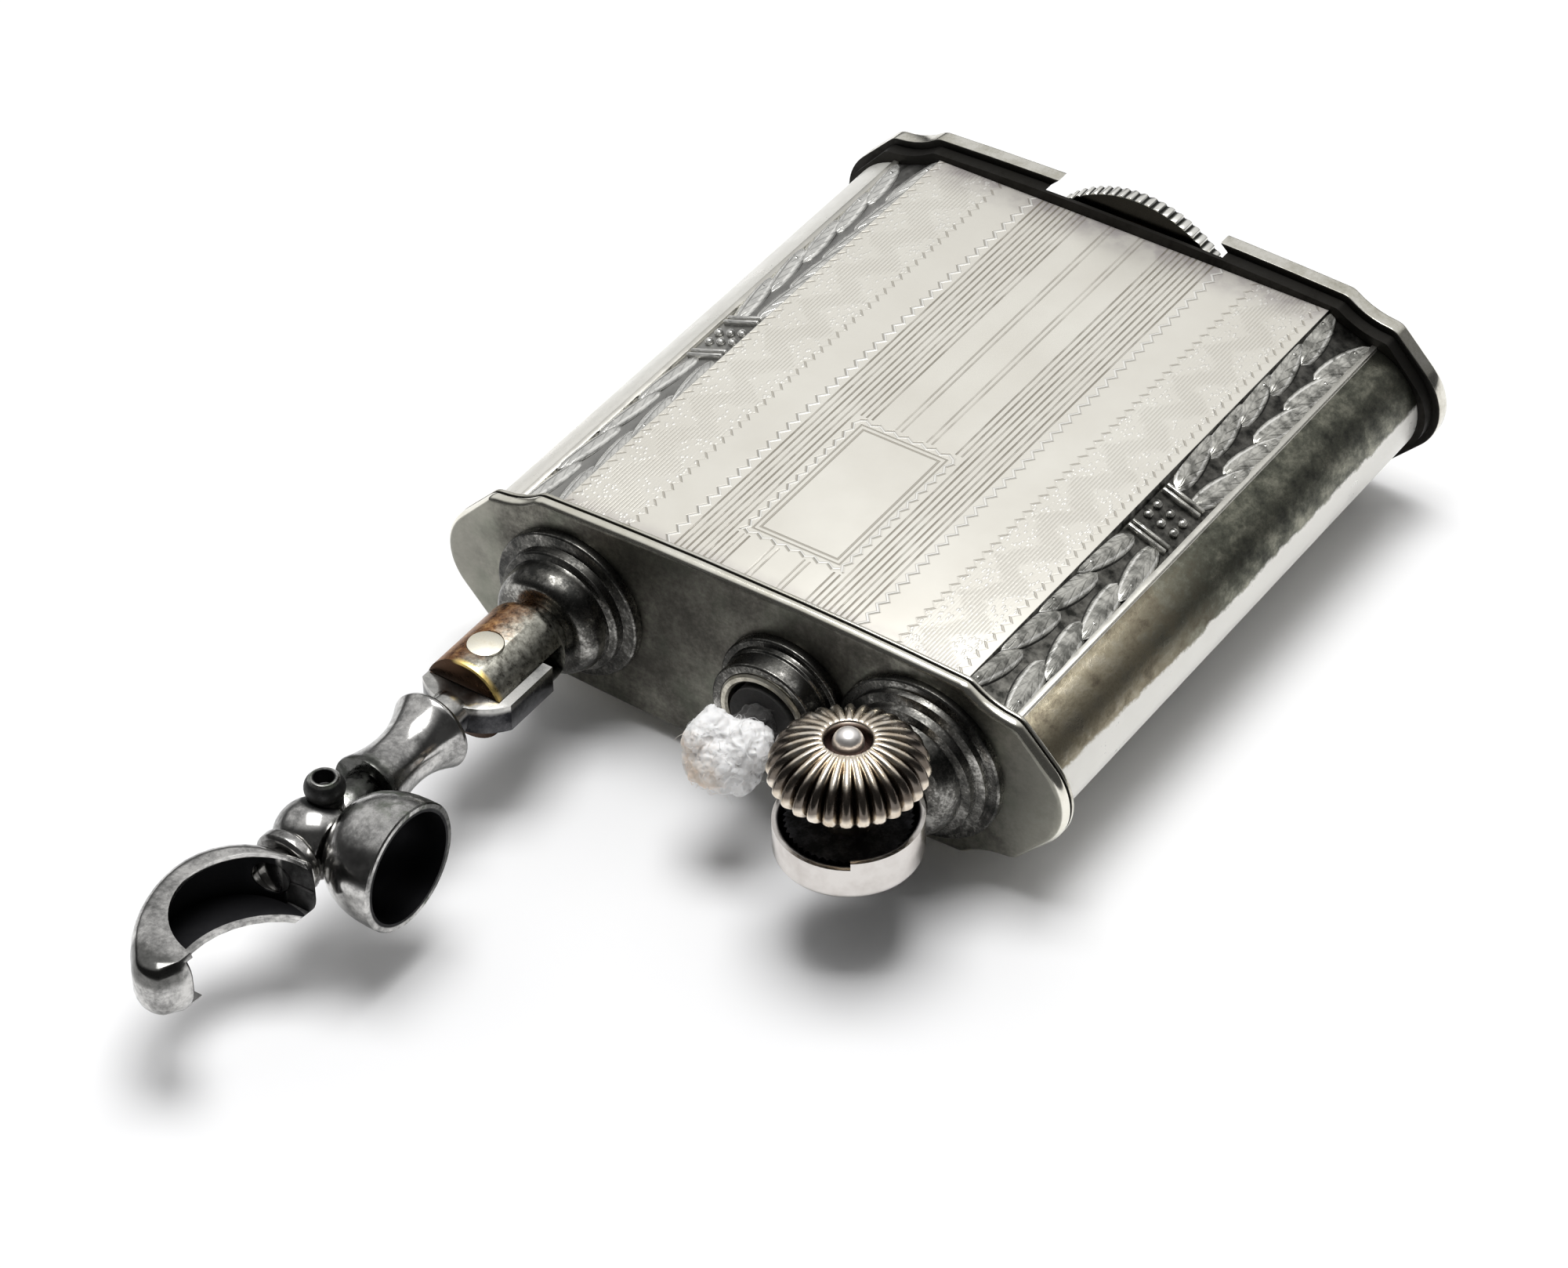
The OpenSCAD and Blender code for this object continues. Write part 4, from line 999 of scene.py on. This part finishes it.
def makeLeaf():
    leaf = leafBand
    bpy.ops.mesh.primitive_grid_add(x_subdivisions=leaf["grid"][0], y_subdivisions=leaf["grid"][1], size=1)
    piece = bpy.context.object
    for v in piece.data.vertices:
        across = v.co.x * 2
        along = v.co.y + 0.5
        wide = leafOutline(along)
        crown = (1 - abs(across)) ** 0.8 * wide
        v.co = (across * wide * leaf["leafWidth"] / 2, along * leaf["length"],
                leaf["ridge"] * crown + leaf["lift"] * along ** 1.5 - 0.02)
    wall = piece.modifiers.new("leafWall", "SOLIDIFY")
    wall.thickness = leaf["wall"]
    wall.offset = -1
    applyModifiers(piece)
    cleanMesh(0.002)
    return piece


def copyTo(piece, place, turnZ=0.0, scale=(1, 1, 1)):
    twin = newPiece(piece.name, piece.data.copy())
    twin.location = place
    twin.rotation_euler = (0, 0, math.radians(turnZ))
    twin.scale = scale
    return twin


def joinAs(pieces, name):
    bpy.ops.object.select_all(action="DESELECT")
    for piece in pieces:
        piece.select_set(True)
    bpy.context.view_layer.objects.active = pieces[0]
    bpy.ops.object.transform_apply(location=True, rotation=True, scale=True)
    bpy.ops.object.join()
    joined = bpy.context.object
    joined.name = name
    joined.data.name = name
    return joined


def makeBar():
    deep, high, eased = leafBand["bar"]
    bpy.ops.mesh.primitive_cube_add(size=1)
    piece = bpy.context.object
    piece.scale = (leafBand["width"] - 0.25, deep, high)
    bpy.ops.object.transform_apply(location=False, rotation=False, scale=True)
    ease = piece.modifiers.new("roundBar", "BEVEL")
    ease.width = eased
    ease.segments = 3
    applyModifiers(piece)
    return piece


def makeLaurelBand():
    band = leafBand
    random.seed(7)
    leaf = makeLeaf()
    bar = makeBar()
    bpy.ops.mesh.primitive_uv_sphere_add(segments=12, ring_count=8, radius=band["berry"])
    berry = bpy.context.object
    turnBy, swellBy = band["uneven"]
    parts = []
    for way in (-1, 1):
        reach = band["tie"] - band["start"] if way < 0 else band["end"] - band["tie"]
        count = int((reach - band["tieHalf"] - 0.6) / band["pitch"]) + 1
        pitch = (reach - band["tieHalf"] - band["length"] + 0.4) / (count - 1)
        for row, (s, splay) in enumerate(band["rows"]):
            for i in range(count):
                y = band["tie"] + way * (band["tieHalf"] - 0.2 + i * pitch + (0.0 if row else 0.35))
                turn = splay * way + random.uniform(-turnBy, turnBy) + (180 if way < 0 else 0)
                parts.append(copyTo(leaf, (s, y, 0), turn, (1, 1, 1 + random.uniform(-swellBy, swellBy))))
                berryX = band["width"] - 0.2 if row else 0.16
                parts.append(copyTo(berry, (berryX, y + way * band["length"] * 0.72, 0.1)))
        for step in (0.0, band["barStep"]):
            y = band["tie"] + way * (band["tieHalf"] - step)
            parts.append(copyTo(bar, (band["width"] / 2, y, 0.06)))
    knot = band["knot"]
    for row in knot["rows"]:
        for bead in range(3):
            place = (knot["from"] + knot["step"] * bead, band["tie"] + row, 0.12)
            parts.append(copyTo(berry, place, 0, knot["scale"]))
    for used in (leaf, bar, berry):
        bpy.data.objects.remove(used)
    joined = joinAs(parts, "laurel")
    slope = math.atan2(band["high"] - band["low"], band["width"])
    joined.rotation_euler = (0, slope, 0)
    joined.location = (band["edge"], 0, band["high"])
    settle(joined)
    return joined


laurel = makeLaurelBand()
for bandName, wayX, wayZ in (("laurelFrontRight", 1, 1), ("laurelFrontLeft", -1, 1),
                             ("laurelBackRight", 1, -1), ("laurelBackLeft", -1, -1)):
    band = newPiece(bandName, laurel.data.copy())
    band.scale = (wayX * mm, mm, wayZ * mm)
    band.location = (0, deckY, midZ)
    settle(band)
    cleanMesh()
    bpy.ops.object.shade_smooth_by_angle(angle=math.radians(38))
    setFinish(band, "chasedLeaf")
    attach(band, "case")
bpy.data.objects.remove(laurel)
print("laurel bands laid")

# Thumb knob: a gadrooned dome with a ring and a dimple round the axle's bead
knobShape = {
    "centre": (11.15, -6.9),  # from the middle of the case and the deck face
    "low": 3.9,  # height over mid-depth
    "lobes": 28,
    "perLobe": 8,
    "rimDepth": 0.5,
    "crest": 0.75,  # exponent: how round the lobes are
    "sink": 0.45,  # how far a valley also sinks, as a share of its depth
    "profile": (  # radius, height, and how deep the valleys are there
        (0.62, -3.0, 0), (1.5, -3.0, 0), (1.5, 0.25, 0), (3.2, 0.25, 0), (3.75, 0.1, 0.6), (4.05, 0.0, 0.9),
        (4.2, 0.08, 1), (4.25, 0.24, 1), (4.22, 0.5, 1), (4.12, 0.85, 1), (3.95, 1.2, 0.98),
        (3.7, 1.52, 0.92), (3.38, 1.8, 0.84), (3.0, 2.04, 0.74), (2.6, 2.23, 0.62), (2.2, 2.37, 0.5),
        (1.85, 2.46, 0.36), (1.58, 2.5, 0.24), (1.42, 2.5, 0.12), (1.32, 2.45, 0), (1.24, 2.34, 0),
        (1.18, 2.15, 0), (1.14, 1.56, 0), (0.62, 1.56, 0), (0.62, -3.0, 0)),
}
knobLook = {
    "grooves": (1.6, 2.6),  # reach from the axle at which the valleys get painted shade
    "dimple": (1.2, 1.36),
    "shoulder": (1.45, 0.5, 0.35),  # height, half width and fade of the ring of painted shade
    "gilt": [(0.34, (0.6, 0.5, 0.38)), (0.55, (0.82, 0.74, 0.63)), (0.7, (0.9, 0.84, 0.76))],
    "valleyColor": (0.07, 0.05, 0.032),
    "shoulderShade": (0.085, 0.068, 0.058),
    "dimpleShade": (0.14, 0.09, 0.08),
    "roughness": (0.3, 0.16),
}


def knobFinish():
    look = knobLook
    spot = newFinish("gildedNickel")
    local, x, y, z = splitFrom(spot, *knobShape["centre"], knobShape["low"])
    turn = calc("ARCTAN2", y, x)
    lobe = unsigned(calc("SINE", times(turn, knobShape["lobes"] / 2)))
    reach = awayFrom(x, 0.0, y, 0.0)
    valley = times(fall(lobe, 0.12, 0.6), rise(reach, *look["grooves"], 0.1, 1.0))
    cloud = speckle(local, 0.9, 5.0, 0.7)
    shoulder = stripe(addShare(cloud, 0.5, z), *look["shoulder"])
    gilt = colorRamp(cloud, look["gilt"])
    # Painted shade in the flutes' valleys, in a ring round the shoulder and in the dimple
    color = mixColor(times(valley, 0.88), gilt, look["valleyColor"])
    color = mixColor(times(shoulder, 0.88), color, look["shoulderShade"])
    color = mixColor(fall(reach, *look["dimple"], 0.8), color, look["dimpleShade"])
    rough = rise(cloud, 0.3, 0.7, *look["roughness"])
    polish(color, rough, speckle(local, 5.0, 4.0), 0.00001)


def makeKnob():
    knob = knobShape
    steps = knob["lobes"] * knob["perLobe"]
    bpy.ops.mesh.primitive_plane_add(size=1)
    piece = bpy.context.object
    piece.name = "thumbKnob"
    bpy.ops.object.mode_set(mode="EDIT")
    bpy.ops.mesh.select_all(action="SELECT")
    bpy.ops.mesh.merge(type="CENTER")
    here = Vector((0, 0, 0))
    for i, (r, h, depth) in enumerate(knob["profile"]):
        there = Vector((r, 0, h))
        if i:
            bpy.ops.mesh.extrude_region_move(TRANSFORM_OT_translate={"value": there - here})
        else:
            bpy.ops.transform.translate(value=there - here)
        here = there
    bpy.ops.mesh.select_all(action="SELECT")
    bpy.ops.mesh.spin(steps=steps, angle=2 * math.pi, center=(0, 0, 0), axis=(0, 0, 1))
    bpy.ops.object.mode_set(mode="OBJECT")
    cleanMesh(0.001)
    rings = [(r, h, depth) for r, h, depth in knob["profile"] if depth]
    for v in piece.data.vertices:
        r = math.hypot(v.co.x, v.co.y)
        depth = [d for ringR, ringH, d in rings if abs(ringR - r) < 0.003 and abs(ringH - v.co.z) < 0.003]
        if depth:
            turn = math.atan2(v.co.y, v.co.x)
            lobe = abs(math.sin(turn * knob["lobes"] / 2)) ** knob["crest"]
            drop = knob["rimDepth"] * depth[0] * (1 - lobe)
            v.co = v.co - Vector((v.co.x / r, v.co.y / r, knob["sink"])) * drop
    piece.scale = (mm, mm, mm)
    piece.location = (knob["centre"][0] * mm, deckY + knob["centre"][1] * mm, midZ + knob["low"] * mm)
    settle(piece)
    bpy.ops.object.shade_smooth_by_angle(angle=math.radians(50))
    knobFinish()
    setFinish(piece, "gildedNickel")
    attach(piece, "wheel")
    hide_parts("thumb_knob")


makeKnob()
print("thumb knob turned")

# The fluffed end of the wick: a lumpy ball of cotton with loose fibres all over it
tuftShape = {
    "root": (2.6, -2.44),  # tube mouth, from the middle of the case and the deck face
    "lobes": (  # middle and radius of each lump, in mm from the tube mouth: across, out, up
        ((0.0, 0.3, 0.0), 1.1), ((0.0, 1.5, 0.0), 1.2), ((-1.1, 3.0, 0.5), 1.55), ((0.95, 2.6, 0.5), 1.5),
        ((0.0, 3.6, -0.3), 1.6), ((-1.0, 3.5, -0.7), 1.3), ((0.85, 3.3, -0.7), 1.2)),
    "grains": 34,
    "grainRadius": (0.3, 0.55),
    "sunk": 0.12,  # how deep grains and fibres are set in
    "voxel": 0.12,
    "soften": 4,
    "swell": (1.6, 0.2),  # scale and height of the two sizes of unevenness
    "crumble": (3.2, 0.26),
    "free": 2.1,  # past this reach the lumps are pressed in, so that none gets past the widest one
    "widest": 2.75,
    "fibres": 700,
    "fibreLength": (0.4, 0.9),
    "fibreRadius": 0.022,
    "fibreSteps": 5,
    "fibreCurl": 0.35,
    "fibreBend": 0.14,  # how much each step bends back towards the ball
    "bareRoot": -0.3,  # no fibre starts nearer to the tube's mouth
}


def anyWay():
    return Vector([random.gauss(0, 1) for _ in range(3)]).normalized()


def tuftCore():
    tuft = tuftShape
    lumps = []
    for (across, out, up), r in tuft["lobes"]:
        bpy.ops.mesh.primitive_ico_sphere_add(subdivisions=4, radius=r, location=(across, -out, up))
        lumps.append(bpy.context.object)
    for _ in range(tuft["grains"]):
        way = anyWay()
        (across, out, up), r = random.choice(tuft["lobes"][2:])
        radius = random.uniform(*tuft["grainRadius"])
        place = Vector((across, -out, up)) + way * (r - tuft["sunk"])
        bpy.ops.mesh.primitive_ico_sphere_add(subdivisions=3, radius=radius, location=place)
        lumps.append(bpy.context.object)
    core = joinAs(lumps, "wickTuft")
    melt = core.modifiers.new("meltLumps", "REMESH")
    melt.mode = "VOXEL"
    melt.voxel_size = tuft["voxel"]
    soften = core.modifiers.new("soften", "SMOOTH")
    soften.iterations = tuft["soften"]
    applyModifiers(core)
    swellScale, swell = tuft["swell"]
    crumbleScale, crumble = tuft["crumble"]
    for v in core.data.vertices:
        rough = noise.noise(v.co * swellScale) * swell
        rough = rough + (0.5 - abs(noise.noise(v.co * crumbleScale))) * crumble - 0.08
        v.co = v.co + v.normal * rough
    onlySelect(core)
    bpy.ops.object.shade_smooth()
    return core


def looseFibres(core):
    tuft = tuftShape
    steps = tuft["fibreSteps"]
    count = len(core.data.vertices)
    strands = bpy.data.curves.new("looseFibres", "CURVE")
    strands.dimensions = "3D"
    strands.bevel_depth = tuft["fibreRadius"]
    strands.bevel_resolution = 0
    strands.resolution_u = 2
    strands.use_fill_caps = True
    for _ in range(tuft["fibres"]):
        seedVertex = core.data.vertices[random.randrange(count)]
        if seedVertex.co.y > tuft["bareRoot"]:
            continue
        length = random.uniform(*tuft["fibreLength"])
        along = seedVertex.normal.cross(anyWay()).normalized()
        flat = along * random.uniform(0.6, 1.0)
        heading = (flat + seedVertex.normal * random.uniform(0.05, 0.5)).normalized()
        spot = seedVertex.co - seedVertex.normal * tuft["sunk"]
        line = strands.splines.new("POLY")
        line.points.add(steps)
        for k in range(steps + 1):
            line.points[k].co = (*spot, 1)
            line.points[k].radius = 1.0 - 0.1 * k
            curl = Vector([random.gauss(0, tuft["fibreCurl"]) for _ in range(3)])
            heading = (heading + curl - seedVertex.normal * tuft["fibreBend"] * k).normalized()
            spot = spot + heading * length / steps
    onlySelect(newPiece("looseFibres", strands))
    bpy.ops.object.convert(target="MESH")
    bpy.ops.object.shade_smooth()
    return bpy.context.object


def makeTuft():
    tuft = tuftShape
    random.seed(11)
    core = tuftCore()
    whole = joinAs([core, looseFibres(core)], "wickTuft")
    for v in whole.data.vertices:
        spread = math.hypot(v.co.x, v.co.z)
        if spread > tuft["free"]:
            room = tuft["widest"] - tuft["free"]
            pressed = tuft["free"] + room * (1 - math.exp((tuft["free"] - spread) / room))
            v.co.x *= pressed / spread
            v.co.z *= pressed / spread
    whole.scale = (mm, mm, mm)
    whole.location = (tuft["root"][0] * mm, deckY + tuft["root"][1] * mm, midZ)
    settle(whole)
    setFinish(whole, "fluffedCotton")
    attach(whole, "case")
    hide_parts("wick_tuft")
    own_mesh(whole)


makeTuft()
print("wick tuft fluffed")

# The table
tableTop = {"size": 3.0, "color": (0.93, 0.93, 0.935), "paler": (0.95, 0.95, 0.955)}
bpy.ops.mesh.primitive_plane_add(size=tableTop["size"], location=(0, 0, 0))
floor = bpy.context.object
floor.name = "tableTop"
floorSpot = newFinish("whiteTable", 0.0)
floorCloud = speckle(floorSpot, 0.02, 3.0)
feed(colorRamp(floorCloud, [(0.3, tableTop["color"]), (0.7, tableTop["paler"])]), "Base Color")
setSocket("Roughness", 0.75)
setSocket("Specular IOR Level", 0.2)
setFinish(floor, "whiteTable")
